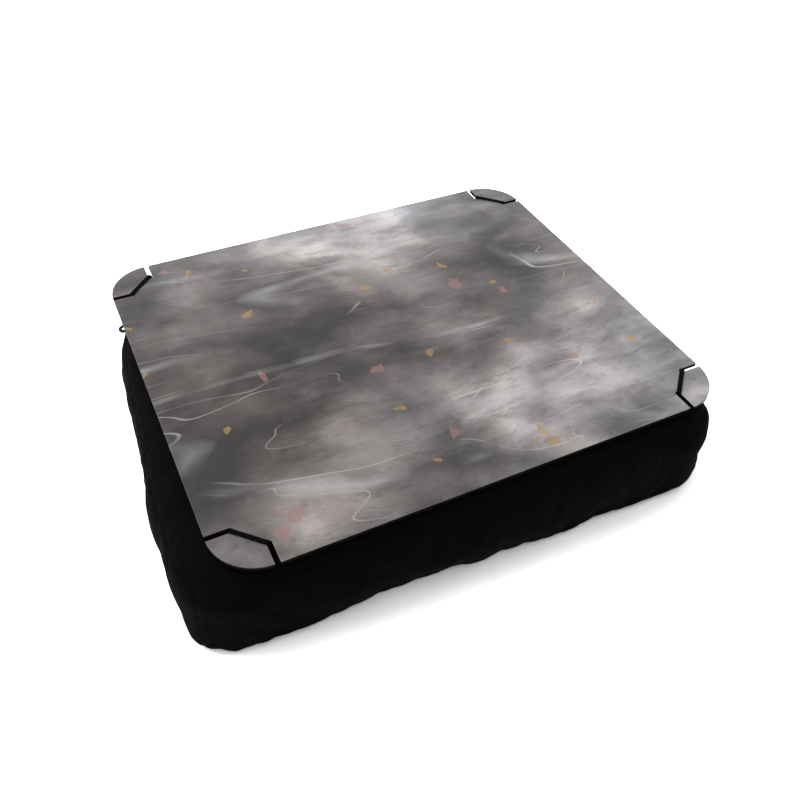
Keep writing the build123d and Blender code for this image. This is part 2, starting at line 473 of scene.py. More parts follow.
# %% [markdown]
# ## A grid that wraps the cushion
#
# The cover is built as one net of squares of about 5 mm: rings round the wall, and two caps whose
# edges are the first and the last ring. Each cap is filled by a Coons patch, which blends its four
# edge lines. Remeshing a plain block would be quicker, but its squares would ignore the seams. A
# net like this has its seams exactly on its own lines, so they stay crisp later.

# %% Wall rows
across_x = 80
across_y = 66
ring_count = 2 * (across_x + across_y)
foot_roll, foot_height = 0.013, 0.008
shoulder_roll, shoulder_height = 0.025, 0.029
foot_turns = np.radians([0, 20, 40, 60, 75, 90])
shoulder_turns = np.radians([0, 10.2, 20.4, 30.7, 40.9, 53, 66, 78, 90])
shoulder_base = cushion_height - shoulder_height
wall_heights = np.linspace(foot_height, shoulder_base, 9)[1:-1]
rows = [(foot_height * (1 - math.cos(t)), foot_roll * (1 - math.sin(t))) for t in foot_turns]
rows += [(height, 0.0) for height in wall_heights]
rows += [
    (shoulder_base + shoulder_height * math.sin(t), shoulder_roll * (1 - math.cos(t)))
    for t in shoulder_turns
]
rows = np.array(rows)
foot_seam_row = 3
shoulder_seam_row = len(foot_turns) + len(wall_heights) + 4
row_arc = np.concatenate([[0], np.cumsum(np.linalg.norm(np.diff(rows, axis=0), axis=1))])
print("rows:", len(rows), "seams at", rows[[foot_seam_row, shoulder_seam_row], 0].round(4))


# %% Rings and caps
def ring_points(inset, x_shares, y_shares):
    """One level of the outline as points, anticlockwise from the front left corner."""
    front, right, back, left = outline_sides(inset)
    return np.vstack(
        [
            read_line(front, x_shares)[:-1],
            read_line(right, y_shares)[:-1],
            read_line(back, 1 - x_shares[::-1])[:-1],
            read_line(left, 1 - y_shares[::-1])[:-1],
        ]
    )


def cap_from_ring(ring, x_shares, y_shares):
    """A patch of points whose edge is the ring, as rows from front to back."""
    nx, ny = len(x_shares) - 1, len(y_shares) - 1
    closed = np.vstack([ring, ring[:1]])
    front = closed[: nx + 1]
    right = closed[nx : nx + ny + 1]
    back = closed[nx + ny : 2 * nx + ny + 1][::-1]
    left = closed[2 * nx + ny :][::-1]
    u, v = x_shares[None, :, None], y_shares[:, None, None]
    edges = (1 - v) * front[None] + v * back[None] + (1 - u) * left[:, None] + u * right[:, None]
    corners = (1 - u) * (1 - v) * front[0] + u * (1 - v) * front[-1]
    return edges - corners - (1 - u) * v * back[0] - u * v * back[-1]


x_even = np.linspace(0, 1, across_x + 1)
y_even = np.linspace(0, 1, across_y + 1)
print("points in a ring:", len(ring_points(0.0, x_even, y_even)))


# %% Faces of the net
def net_faces(row_count, nx, ny):
    """Faces of a net: wall rings first, then the top cap's inner points, then the bottom's."""
    ring_size = 2 * (nx + ny)
    faces = ring_faces(row_count, ring_size)
    wall_count = len(faces)
    inner = (nx - 1) * (ny - 1)
    for cap, ring_start in ((0, (row_count - 1) * ring_size), (1, 0)):
        index = np.zeros((ny + 1, nx + 1), int)
        index[1:-1, 1:-1] = (
            row_count * ring_size + cap * inner + np.arange(inner).reshape(ny - 1, nx - 1)
        )
        loop = ring_start + np.arange(ring_size)
        closed = np.concatenate([loop, loop[:1]])
        index[0] = closed[: nx + 1]
        index[:, -1] = closed[nx : nx + ny + 1]
        index[-1] = closed[nx + ny : 2 * nx + ny + 1][::-1]
        index[:, 0] = closed[2 * nx + ny :][::-1]
        quads = np.stack([index[:-1, :-1], index[:-1, 1:], index[1:, 1:], index[1:, :-1]], -1)
        quads = quads.reshape(-1, 4)
        faces += [tuple(q) for q in (quads if cap == 0 else quads[:, ::-1])]
    return faces, wall_count


def net_points(wall, top, bottom):
    """The points that net_faces counts: all wall rings, then the inner points of both caps."""
    return np.vstack(
        [wall.reshape(-1, 3), top[1:-1, 1:-1].reshape(-1, 3), bottom[1:-1, 1:-1].reshape(-1, 3)]
    )


print("faces of a net with two rings round 4 by 3 squares:", len(net_faces(2, 4, 3)[0]))

# %% First wall
start_inset = 0.0002
start_above_floor, start_shorter = 0.0004, 0.0012
wall = np.zeros((len(rows), ring_count, 3))
for row, (height, roll) in enumerate(rows):
    wall[row, :, :2] = ring_points(roll + start_inset, x_even, y_even)
    height_share = height * (cushion_height - start_shorter) / cushion_height
    wall[row, :, 2] = start_above_floor + height_share
print("wall net:", wall.shape, "first ring", wall[0, 0].round(3))

# %% [markdown]
# ## Lumps, one by one
#
# A bead cushion is never even. The beads drift, so the wall swells in one place and slackens in
# the next. Simulated beads would give lumps too, but in places of their own, so each lump here is
# set one by one. The places below were read off the cushion's outline in the photograph: the place,
# how far the lump reaches round the wall and up it, and how far it stands out, or in where it is
# negative, all in millimetres. The front wall also bellies out a little above its foot, so that
# it leans over the floor there. A slow random swell fills in what the photograph doesn't show.

# %% Lumps
lumps = [
    (-200, 132, 62, 26, 26, -5.0),
    (-201, 147, 33, 16, 20, -5.5),
    (-214, 44, 40, 20, 24, -1.2),
    (-221, 4, 40, 22, 24, -4.4),
    (-225, -38, 42, 24, 24, -2.6),
    (-228, -84, 42, 24, 24, 3.0),
    (-229, -112, 36, 18, 22, -1.0),
    (-229, -138, 16, 17, 20, -3.0),
    (-218, -158, 14, 15, 16, 2.8),
    (-192, -175, 6, 8, 8, -0.8),
    (-184, -176, 4, 20, 12, 1.4),
    (-150, -177, 4, 30, 13, 0.2),
    (-98, -180, 4, 34, 13, -4.4),
    (-40, -183, 4, 36, 13, -5.2),
    (-22, -184, 4, 13, 12, 2.2),
    (14, -185, 4, 34, 13, -1.8),
    (58, -186, 4, 24, 13, 0.6),
    (84, -186, 8, 16, 14, -1.6),
    (124, -187, 5, 26, 15, 0.4),
    (-130, -184, 31, 46, 19, 2.6),
    (-55, -186, 31, 60, 19, 3.4),
    (25, -189, 31, 60, 19, 3.4),
    (98, -189, 31, 46, 19, 2.2),
    (158, -186, 6, 20, 12, 1.4),
    (192, -178, 40, 18, 20, -2.8),
    (196, -176, 8, 10, 8, 1.5),
    (197, -156, 63, 9, 7, -2.4),
    (206, -60, 40, 45, 26, 2.0),
    (209, 50, 35, 40, 26, -1.8),
]


def grid_normals(grid):
    """Outward directions of a grid of points whose rows climb and whose columns go round."""
    along = np.roll(grid, -1, 1) - np.roll(grid, 1, 1)
    return unit(np.cross(along, np.gradient(grid, axis=0)))


wall_out = grid_normals(wall)
swell = np.zeros(wall.shape[:2])
for x, y, z, reach_round, reach_up, amount in lumps:
    offset = wall - np.array((x, y, z)) / 1000
    gap = offset / np.array((reach_round, reach_round, reach_up)) * 1000
    swell += amount / 1000 * np.exp(-(gap**2).sum(2))
print("lumps:", len(lumps), "deepest hollow", (swell.min() * 1000).round(1), "mm")

# %% Random swell
# It fades out near the floor, near the board and on the back wall, where the zip keeps it flat.
random_amount = 0.0016
back_wall_starts, back_wall_fade = 0.150, 0.015
random_swell = soft_noise(wall.reshape(-1, 3), 0.055, 3.1).reshape(wall.shape[:2])
random_swell += 0.5 * soft_noise(wall.reshape(-1, 3), 0.024, 8.4).reshape(wall.shape[:2])
back_wall = np.clip((wall[..., 1] - back_wall_starts) / back_wall_fade, 0, 1)
near_floor = np.clip(rows[:, 0] / 0.012, 0.25, 1)
rolled = near_floor * np.clip((cushion_height - rows[:, 0]) / 0.02, 0, 1)
swell += random_amount * random_swell * (1 - back_wall) * rolled[:, None]
wall += wall_out * swell[..., None]
top_cap = cap_from_ring(wall[-1], x_even, y_even)
bottom_cap = cap_from_ring(wall[0], x_even, y_even)
print("lumps move the wall by up to", round(float(np.abs(swell).max()) * 1000, 1), "mm")

# %% [markdown]
# ## Letting the cloth settle
#
# The panels are cut a little larger than the filling needs, and the filling presses outwards, so
# the cloth puckers where a seam holds it. Blender's Cloth gives this: a pressure inside, cloth
# that is 2.5% larger than the net, and the seam lines held in place. The band round the zip is held
# too, because its teeth and slider are hard parts. The step is capped, so nothing runs away.

# %% What holds the cloth
zip_height = 0.038
near_back = 0.160
zip_hold_reach = 0.011
cap_margin, cap_fade, cap_hold = 0.03, 0.05, 0.6
bottom_below, top_above = 0.002, 0.074


def by_the_zip(points, reach):
    """True for points on the back wall within reach above and below the zip's middle line."""
    return (points[..., 1] > near_back) & (np.abs(points[..., 2] - zip_height) < reach)


def held_share(points):
    """How firmly each point is held, from 0 to 1: round the zip and on the two broad caps."""
    inner = np.minimum(
        half_width - cap_margin - np.abs(points[:, 0]),
        half_depth - cap_margin - np.abs(points[:, 1]),
    )
    flat_cap = (points[:, 2] < bottom_below) | (points[:, 2] > top_above)
    on_cap = np.where(flat_cap, np.clip(inner / cap_fade, 0, cap_hold), 0.0)
    return np.where(by_the_zip(points, zip_hold_reach), 1.0, on_cap)


net = net_points(wall, top_cap, bottom_cap)
coarse_faces = net_faces(len(rows), across_x, across_y)[0]
print("points held by the zip:", int(by_the_zip(net, zip_hold_reach).sum()), "of", len(net))

# %% Cloth settling
settle_frames = 20
settle_cap = 0.005
seam_hold = 0.85


def settle(points, faces, seam_points):
    """Runs the cloth on a copy of the net and returns where its points end."""
    mesh = bpy.data.meshes.new("settling")
    mesh.from_pydata([tuple(p) for p in points], [], faces)
    body = bpy.data.objects.new("settling", mesh)
    bpy.context.scene.collection.objects.link(body)
    group = body.vertex_groups.new(name="held")
    share = held_share(points)
    share[seam_points] = np.maximum(share[seam_points], seam_hold)
    for k, value in enumerate(share):
        if value > 0:
            group.add([k], float(value), "REPLACE")
    cloth = body.modifiers.new("cloth", "CLOTH")
    settings = cloth.settings
    settings.quality = 5
    settings.mass = 0.25
    settings.tension_stiffness = 12
    settings.compression_stiffness = 8
    settings.shear_stiffness = 4
    settings.bending_stiffness = 0.15
    settings.use_pressure = True
    settings.uniform_pressure_force = 2.5
    settings.shrink_min = -0.025
    settings.vertex_group_mass = "held"
    settings.effector_weights.gravity = 0
    cloth.collision_settings.use_collision = False
    cloth.point_cache.frame_start = 1
    cloth.point_cache.frame_end = settle_frames
    scene = bpy.context.scene
    for number in range(1, settle_frames + 1):
        scene.frame_set(number)
    shaped = body.evaluated_get(bpy.context.evaluated_depsgraph_get()).data
    settled = np.array([v.co for v in shaped.vertices])
    scene.frame_set(1)
    bpy.data.objects.remove(body)
    bpy.data.meshes.remove(mesh)
    return settled


corner_columns = [0, across_x, across_x + across_y, 2 * across_x + across_y]
seam_points = [
    row * ring_count + k
    for row in (foot_seam_row, shoulder_seam_row)
    for k in range(ring_count)
]
seam_points += [
    row * ring_count + k
    for row in range(foot_seam_row, shoulder_seam_row)
    for k in corner_columns
]
move = np.zeros_like(net)
move = settle(net, coarse_faces, seam_points) - net
length = np.linalg.norm(move, axis=1, keepdims=True)
move = move * np.minimum(1, settle_cap / np.maximum(length, 1e-9))
print("cloth moved by up to", (length.max() * 1000).round(2), "mm")

# %% [markdown]
# ## Keeping only the wrinkles
#
# Pressure also blows the whole wall out by a few millimetres, and the wall's place is already
# known. So the broad part of the movement is taken away: it is the movement averaged along the
# wall. What stays are the folds and puckers, on a wall that still stands where it was measured.


# %% Wrinkles
def broad_part(grid, rounds):
    """A closed grid averaged along its rings, many times over."""
    for _ in range(rounds):
        grid = (np.roll(grid, 1, 1) + 2 * grid + np.roll(grid, -1, 1)) / 4
    return grid


wrinkle_share = 0.5
averaging_rounds = 90
wall_size = len(rows) * ring_count
inner_shape = (across_y - 1, across_x - 1, 3)
inner_size = inner_shape[0] * inner_shape[1]
wall_move = move[:wall_size].reshape(wall.shape)
wrinkles = wrinkle_share * (wall_move - broad_part(wall_move, averaging_rounds))
smooth_rim = wall[-1].copy(), wall[0].copy()
wall = wall + wrinkles
print("wrinkles up to", (np.abs(wrinkles).max() * 1000).round(2), "mm")

# %% [markdown]
# ## Contact with floor, board and zip
#
# Filling presses the cloth flat wherever something hard is in the way. Points past the floor, the
# underside of the board or the plane of the zip's slider are brought back to it. The bottom panel
# comes down to the floor a few centimetres in from its rolled rim, and lies flat from there on.

# %% Contact
cloth_low, cloth_high = 0.0002, cushion_height - 0.0002
slider_plane = 0.1706
wall[..., 2] = np.clip(wall[..., 2], cloth_low, cloth_high)
wall[..., 1] = np.minimum(wall[..., 1], slider_plane)
print("wall box", wall.min((0, 1)).round(4), wall.max((0, 1)).round(4))

# %% Settled caps
# Distances on the caps are counted in lines of the net, from the cap's edge inwards.
from_edge = np.minimum.outer(
    np.minimum(np.arange(1, across_y), across_y - np.arange(1, across_y)),
    np.minimum(np.arange(1, across_x), across_x - np.arange(1, across_x)),
)
cap_share = np.clip((from_edge - 1) / 8, 0, 1)[..., None]
rim_fade, floor_fade = 2.5, 3


def settled_cap(smooth_ring, ring, inner_move, sag=0.0, rests_at=None):
    """A cap whose rim has the wall's wrinkles, which fade out over a few centimetres."""
    cap = cap_from_ring(smooth_ring, x_even, y_even)
    fade = np.ones((across_y + 1, across_x + 1, 1))
    fade[1:-1, 1:-1] = np.exp(-from_edge / rim_fade)[..., None]
    cap += fade * cap_from_ring(ring - smooth_ring, x_even, y_even)
    cap[1:-1, 1:-1] += wrinkle_share * cap_share * inner_move.reshape(inner_shape)
    flat_points = cap.reshape(-1, 3)
    hollow = 0.5 + 0.5 * soft_noise(flat_points, 0.045, 12.7)
    hollow += 0.3 * soft_noise(flat_points, 0.017, 2.2)
    cap[..., 2] -= sag * np.clip(hollow, 0, 1).reshape(cap.shape[:2]) * (1 - fade[..., 0])
    if rests_at is not None:
        above = (cap[1:-1, 1:-1, 2] - rests_at) * np.exp(-from_edge / floor_fade)
        cap[1:-1, 1:-1, 2] = rests_at + above
    cap[..., 2] = np.clip(cap[..., 2], cloth_low, cloth_high)
    return cap


top_move, bottom_move = np.split(move[wall_size:], [inner_size])
top_cap = settled_cap(smooth_rim[0], wall[-1], top_move, sag=0.0016)
bottom_cap = settled_cap(smooth_rim[1], wall[0], bottom_move, rests_at=0.0003)
print("top panel is lowest at", top_cap[..., 2].min().round(4), "m")

# %% [markdown]
# ## A finer net with lines where the detail is
#
# Seams, creases and the zip's slot need points closer together than 5 mm, but only near them. The
# settled net is read again along finer lines with a smooth curve through its points, so more lines
# can lie beside each seam and exactly on the slot's edges.


# %% Finer lines
beside_line = (0.16, 0.34, 0.7)
least_gap = 0.09


def finer_lines(count, special):
    """Half steps from 0 to count, with lines on and beside the special ones."""
    beside = (0.0, *beside_line, *(-b for b in beside_line))
    wanted = [s + d for s in special for d in beside]
    wanted = np.unique(np.round([w for w in wanted if 0 <= w <= count], 4))
    even = np.arange(0, count + 0.25, 0.5)
    kept = [e for e in even if e in (0, count) or np.abs(wanted - e).min() > least_gap]
    return np.unique(np.round(np.concatenate([wanted, kept]), 4))


def smooth_read(grid, at, axis, closed):
    """A grid read between its lines along one axis, on a Catmull-Rom curve."""
    grid = np.moveaxis(grid, axis, 0)
    count = len(grid)
    if closed:
        base = np.floor(at).astype(int)
        lines = [grid[(base + k) % count] for k in (-1, 0, 1, 2)]
    else:
        base = np.minimum(np.floor(at).astype(int), count - 2)
        ends = np.concatenate([[2 * grid[0] - grid[1]], grid, [2 * grid[-1] - grid[-2]]])
        lines = [ends[base + k] for k in (0, 1, 2, 3)]
    before, here, after, beyond = lines
    t = (at - base).reshape(-1, *[1] * (grid.ndim - 1))
    read = 2 * here + (after - before) * t
    read = read + (2 * before - 5 * here + 4 * after - beyond) * t**2
    read = read + (3 * here - before - 3 * after + beyond) * t**3
    return np.moveaxis(read / 2, 0, axis)


print("lines from 0 to 3 round line 1:", finer_lines(3, [1]))

# %% Finer net
slot_half = 0.176
slot_rise = 0.0045
back_line = outline_sides(start_inset)[2]
back_length = np.concatenate([[0], np.cumsum(np.linalg.norm(np.diff(back_line, axis=0), axis=1))])
slot_columns = [
    across_x * (1 - np.interp(-x, -back_line[:, 0], back_length) / back_length[-1])
    for x in (-slot_half, slot_half)
]
slot_rows = [
    float(np.interp(z, wall[:, int(1.5 * across_x + across_y), 2], np.arange(len(rows))))
    for z in (zip_height - slot_rise, zip_height + slot_rise)
]
x_lines = finer_lines(across_x, [0, across_x, *slot_columns])
y_lines = finer_lines(across_y, [0, across_y])
row_lines = finer_lines(len(rows) - 1, [foot_seam_row, shoulder_seam_row, *slot_rows])
ring_lines = np.concatenate(
    [
        x_lines[:-1],
        across_x + y_lines[:-1],
        across_x + across_y + (across_x - x_lines[::-1])[:-1],
        2 * across_x + across_y + (across_y - y_lines[::-1])[:-1],
    ]
)
nx, ny = len(x_lines) - 1, len(y_lines) - 1
fine_wall = smooth_read(smooth_read(wall, row_lines, 0, False), ring_lines, 1, True)
fine_top, fine_bottom = (
    smooth_read(smooth_read(cap, y_lines, 0, False), x_lines, 1, False)
    for cap in (top_cap, bottom_cap)
)
print("finer net:", fine_wall.shape, fine_top.shape)

# %% [markdown]
# ## Seams, puckers and creases
#
# A plain seam is where two panels dive into the cushion and meet: a narrow groove, a soft swell on
# each side, and small puckers along it, because the thread is a little tighter than the cloth.
# Bump in the material could draw it, but only real relief shows in the outline and the shadows.

# %% Distances round and up the wall
fine_out = grid_normals(fine_wall)
fine_arc = np.interp(row_lines, np.arange(len(rows)), row_arc)
side_steps = np.linalg.norm(np.roll(fine_wall[10], -1, 0) - fine_wall[10], axis=1)
ring_arc = np.concatenate([[0], np.cumsum(side_steps)])
ring_total = ring_arc[-1]
ring_arc = ring_arc[:-1]
corner_at = [0, nx, nx + ny, 2 * nx + ny]
print("wall is", round(float(ring_total), 3), "m round and", round(float(fine_arc[-1]), 3), "m up")

# %% Seams
groove_width = 0.0009
swell_place, swell_width, swell_share = 0.0045, 0.003, 0.35
pucker_length, pucker_reach, pucker_share = 0.0085, 0.006, 0.55
seam_reach = 0.02


def seam_relief(gap, along, depth, shift):
    """How far a seam moves the surface: groove, swell beside it and puckers along it."""
    groove = -depth * np.exp(-((gap / groove_width) ** 2))
    beside = swell_share * depth * np.exp(-(((gap - swell_place) / swell_width) ** 2))
    pucker = soft_noise(np.column_stack([along, 0 * along, 0 * along]), pucker_length, shift)
    puckered = pucker_share * depth * pucker * np.exp(-((gap / pucker_reach) ** 2))
    return groove + beside + puckered


relief = np.zeros(fine_wall.shape[:2])
for seam_row, depth, shift in ((foot_seam_row, 0.0007, 1.3), (shoulder_seam_row, 0.00055, 5.9)):
    gap = np.abs(fine_arc - row_arc[seam_row])
    for row in np.nonzero(gap < seam_reach)[0]:
        relief[row] += seam_relief(np.full(len(ring_arc), gap[row]), ring_arc, depth, shift)
in_band = (fine_arc >= row_arc[foot_seam_row]) & (fine_arc <= row_arc[shoulder_seam_row])
for k in corner_at:
    gap = np.abs((ring_arc - ring_arc[k] + ring_total / 2) % ring_total - ring_total / 2)
    depth = 0.0003 if k == 0 else 0.0006
    for column in np.nonzero(gap < seam_reach)[0]:
        across = seam_relief(np.full(in_band.sum(), gap[column]), fine_arc[in_band], depth, k)
        relief[in_band, column] += across
print("seam relief in mm:", (relief.min() * 1000).round(2), "to", (relief.max() * 1000).round(2))

# %% [markdown]
# ## Creases and a corner nub
#
# Where slack cloth meets a firm corner it lies in long soft folds. Each one is a shallow trough
# between two points, with a low swell on both sides of it. The bundle of seam ends inside the
# front left corner also shows, as a small bump on the floor.

# %% Creases
# Each crease: where it starts, where it ends, its half width and its depth, in metres.
creases = [
    ((-0.229, -0.108, 0.060), (-0.233, -0.142, 0.024), 0.0045, 0.0018),
    ((-0.2180, -0.1430, 0.066), (-0.2105, -0.1600, 0.064), 0.0030, 0.0009),
    ((-0.224, -0.010, 0.052), (-0.222, 0.012, 0.014), 0.0060, 0.0016),
    ((-0.228, -0.060, 0.056), (-0.227, -0.042, 0.030), 0.0045, 0.0010),
    ((-0.218, 0.060, 0.020), (-0.213, 0.095, 0.044), 0.0055, 0.0012),
    ((-0.196, -0.176, 0.040), (-0.170, -0.181, 0.012), 0.0060, 0.0006),
    ((-0.120, -0.183, 0.050), (-0.096, -0.184, 0.018), 0.0070, 0.0005),
    ((0.020, -0.187, 0.046), (0.052, -0.187, 0.014), 0.0070, 0.0005),
    ((0.096, -0.188, 0.040), (0.112, -0.187, 0.010), 0.0060, 0.0007),
    ((0.170, -0.186, 0.048), (0.182, -0.181, 0.014), 0.0060, 0.0008),
    ((0.204, -0.090, 0.050), (0.206, -0.064, 0.016), 0.0060, 0.0013),
    ((0.209, 0.030, 0.044), (0.210, 0.058, 0.020), 0.0060, 0.0012),
    ((0.207, 0.120, 0.050), (0.206, 0.136, 0.018), 0.0050, 0.0012),
]
for start, end, width, depth in creases:
    start, end = np.array(start), np.array(end)
    run = end - start
    share = np.clip(((fine_wall - start) @ run) / (run @ run), 0, 1)
    gap = np.linalg.norm(fine_wall - start - share[..., None] * run, axis=2)
    taper = np.sin(np.pi * np.clip(0.12 + 0.76 * share, 0, 1))
    relief += depth * taper * (0.5 * np.exp(-(((gap - 2 * width) / width) ** 2)))
    relief -= depth * taper * np.exp(-((gap / width) ** 2))
print("creases:", len(creases))

# %% Corner nub and the finished wall
nub_place, nub_reach, nub_height = (-0.2003, -0.1716, 0.002), (0.012, 0.008, 0.004), 0.0028
nub = np.linalg.norm((fine_wall - nub_place) / nub_reach, axis=2)
relief += nub_height * np.exp(-(nub**4))
relief[by_the_zip(fine_wall, 0.010)] = 0
fine_wall = fine_wall + fine_out * relief[..., None]
fine_wall[..., 2] = np.clip(fine_wall[..., 2], cloth_low, cloth_high)
print("finished wall:", fine_wall.min((0, 1)).round(4), fine_wall.max((0, 1)).round(4))

# %% [markdown]
# ## Cloth coordinates
#
# For the weave, every corner of every face gets its place on the flat cut panel. On the bands that
# is the distance round the wall and the distance up it. On the top and the bottom panel it is the
# place seen from above, and past the cap's edge the distance goes on outwards, as if unrolled.

# %% Flat places
level_out = fine_out[..., :2]
edge_out = level_out / np.maximum(np.linalg.norm(level_out, axis=2, keepdims=True), 1e-6)
band_flat = np.stack(
    [
        np.broadcast_to(ring_arc, fine_wall.shape[:2]),
        np.broadcast_to(fine_arc[:, None], fine_wall.shape[:2]),
    ],
    -1,
)
middle_out = edge_out[len(row_lines) // 2]
top_flat = fine_wall[-1, None, :, :2] + middle_out[None] * (fine_arc[-1] - fine_arc)[:, None, None]
bottom_flat = fine_wall[0, None, :, :2] + middle_out[None] * fine_arc[:, None, None]


def face_flat_places(faces, wall_count, points):
    """Two flat coordinates for each face corner, in the order of the faces."""
    ring_size = fine_wall.shape[1]
    low = np.nonzero(row_lines >= foot_seam_row - 1e-6)[0][0]
    high = np.nonzero(row_lines >= shoulder_seam_row - 1e-6)[0][0]
    places = []
    for number, face in enumerate(faces):
        if number >= wall_count:
            places += [tuple(points[k][:2]) for k in face]
            continue
        row, column = divmod(number, ring_size)
        source = band_flat if low <= row < high else (top_flat if row >= high else bottom_flat)
        after = column + 1
        for r, c in ((row, column), (row, after), (row + 1, after), (row + 1, column)):
            u, v = source[r, c % ring_size]
            if source is band_flat and c == ring_size:
                u = ring_total
            places.append((u, v))
    return places


fine_points = net_points(fine_wall, fine_top, fine_bottom)
fine_faces, wall_face_count = net_faces(len(row_lines), nx, ny)
flat_places = face_flat_places(fine_faces, wall_face_count, fine_points)
print("cover faces:", len(fine_faces))

# %% [markdown]
# ## The cover, with a slot for the zip
#
# The faces inside the slot are left out. The cloth's cut edges turn in round the slot and run back
# behind it for a few millimetres, as a folded and pressed edge does, so the slot has rounded lips
# instead of a paper-thin rim.

# %% Cover piece
centres = fine_points[np.array(fine_faces)].mean(1)
in_slot = by_the_zip(centres, slot_rise) & (np.abs(centres[:, 0]) < slot_half)
kept_faces = [face for face, cut in zip(fine_faces, in_slot) if not cut]
kept_places = [
    place for k, cut in enumerate(in_slot) if not cut for place in flat_places[4 * k : 4 * k + 4]
]
cover = make_piece(
    "cushion_cover", fine_points, kept_faces, cover_cloth, "cushion"
)
flat_layer = cover.data.uv_layers.new(name="flat_cloth")
flat_layer.data.foreach_set("uv", np.array(kept_places).ravel())
print("faces cut out for the slot:", int(in_slot.sum()))

# %% Folded slot
edge_tolerance = 0.0006


def fold_lip(piece, depth, tuck):
    """Turns the open edge of the zip's slot inwards and back behind the cloth."""
    net_mesh = bmesh.new()
    net_mesh.from_mesh(piece.data)
    loose = [v for v in net_mesh.verts if not v.link_faces]
    bmesh.ops.delete(net_mesh, geom=loose, context="VERTS")
    rim = [e for e in net_mesh.edges if len(e.link_faces) == 1]
    moves = ((Vector((0, -depth, 0)), 0.0), (Vector((0, -0.0002, 0)), tuck))
    for shift, spread in moves:
        grown = bmesh.ops.extrude_edge_only(net_mesh, edges=rim)
        rim = [g for g in grown["geom"] if isinstance(g, bmesh.types.BMEdge)]
        for vert in {v for e in rim for v in e.verts}:
            vert.co += shift
            if abs(vert.co.z - zip_height) >= slot_rise - edge_tolerance:
                vert.co.z += math.copysign(spread, vert.co.z - zip_height)
            if abs(vert.co.x) >= slot_half - edge_tolerance:
                vert.co.x += math.copysign(spread / 2, vert.co.x)
    bmesh.ops.recalc_face_normals(net_mesh, faces=net_mesh.faces)
    net_mesh.to_mesh(piece.data)
    net_mesh.free()
    piece.data.polygons.foreach_set("use_smooth", [True] * len(piece.data.polygons))


fold_lip(cover, depth=0.0009, tuck=0.0035)
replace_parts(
    cover,
    "cover_top_panel",
    "cover_bottom_panel",
    "cover_front_band",
    "cover_left_band",
    "cover_right_band",
    "cover_back_band_upper",
    "cover_back_band_lower",
)
print("cover:", len(cover.data.polygons), "faces")

# %% [markdown]
# ## Bag and beads inside
#
# Inside the cover is a thin sewn bag, and inside that are the beads. Nobody sees them with the zip
# closed, but they are there when the slider moves. Both follow the settled cover a little further
# in, on the coarser net, and both give way behind the zip.


# %% Nets inside the cover
zip_inner_plane = 0.170
behind_from, behind_reach = 0.150, 0.013


def inside_net(depth, zip_gap):
    """The coarse net drawn in by depth, and by more behind the zip."""
    inner_wall = wall - grid_normals(wall) * depth
    inner_top, inner_bottom = top_cap - (0, 0, depth), bottom_cap + (0, 0, depth)
    points = net_points(inner_wall, inner_top, inner_bottom)
    behind = (points[:, 1] > behind_from) & (np.abs(points[:, 2] - zip_height) < behind_reach)
    points[behind, 1] = np.minimum(points[behind, 1], zip_inner_plane - zip_gap)
    points[:, 2] = np.clip(points[:, 2], depth, cushion_height - depth)
    return points


def lay_flat(piece, place_of):
    """Gives each face corner its place on the flat cut cloth, worked out from its vertex."""
    layer = piece.data.uv_layers.new(name="flat_cloth")
    for corner in piece.data.loops:
        layer.data[corner.index].uv = place_of(piece.data.vertices[corner.vertex_index])


print("lowest corner of a net 3 mm in:", inside_net(0.003, 0.007).min(0).round(4))


# %% Bag and beads
def beads_material():
    """White foam beads pressed together: round bumps, with painted shade in the gaps between them.
    """
    beads_per_metre = 330.0
    material, tree, shader = new_material("foam_beads", Roughness=0.7)
    inputs = {"Vector": object_place(tree), "Scale": beads_per_metre}
    from_middle = put(tree, "ShaderNodeTexVoronoi", inputs).outputs["Distance"]
    relief = math_node(tree, "SUBTRACT", 1.0, from_middle)
    feed(
        shader,
        # The bead middles are light and the gaps between beads dark: painted shade between the
        # beads.
        Base_Color=ramp(tree, from_middle, [(0.0, (0.85, 0.85, 0.84)), (0.7, (0.4, 0.4, 0.4))]),
        Normal=bump(tree, relief, 0.8, 0.001),
    )
    return material


bag_points = inside_net(depth=0.0026, zip_gap=0.0062)
bag = make_piece("bead_bag", bag_points, coarse_faces, bag_cloth, "cushion")
lay_flat(bag, lambda vertex: (vertex.co.x + 0.3 * vertex.co.z, vertex.co.y + 0.7 * vertex.co.z))
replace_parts(bag, "inner_bag")
bead_points = inside_net(depth=0.0036, zip_gap=0.0074)
beads = make_piece(
    "foam_beads", bead_points, coarse_faces, beads_material(), "cushion"
)
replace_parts(beads, "bead_filling")
print("bag and beads:", len(bag.data.polygons), "faces each")
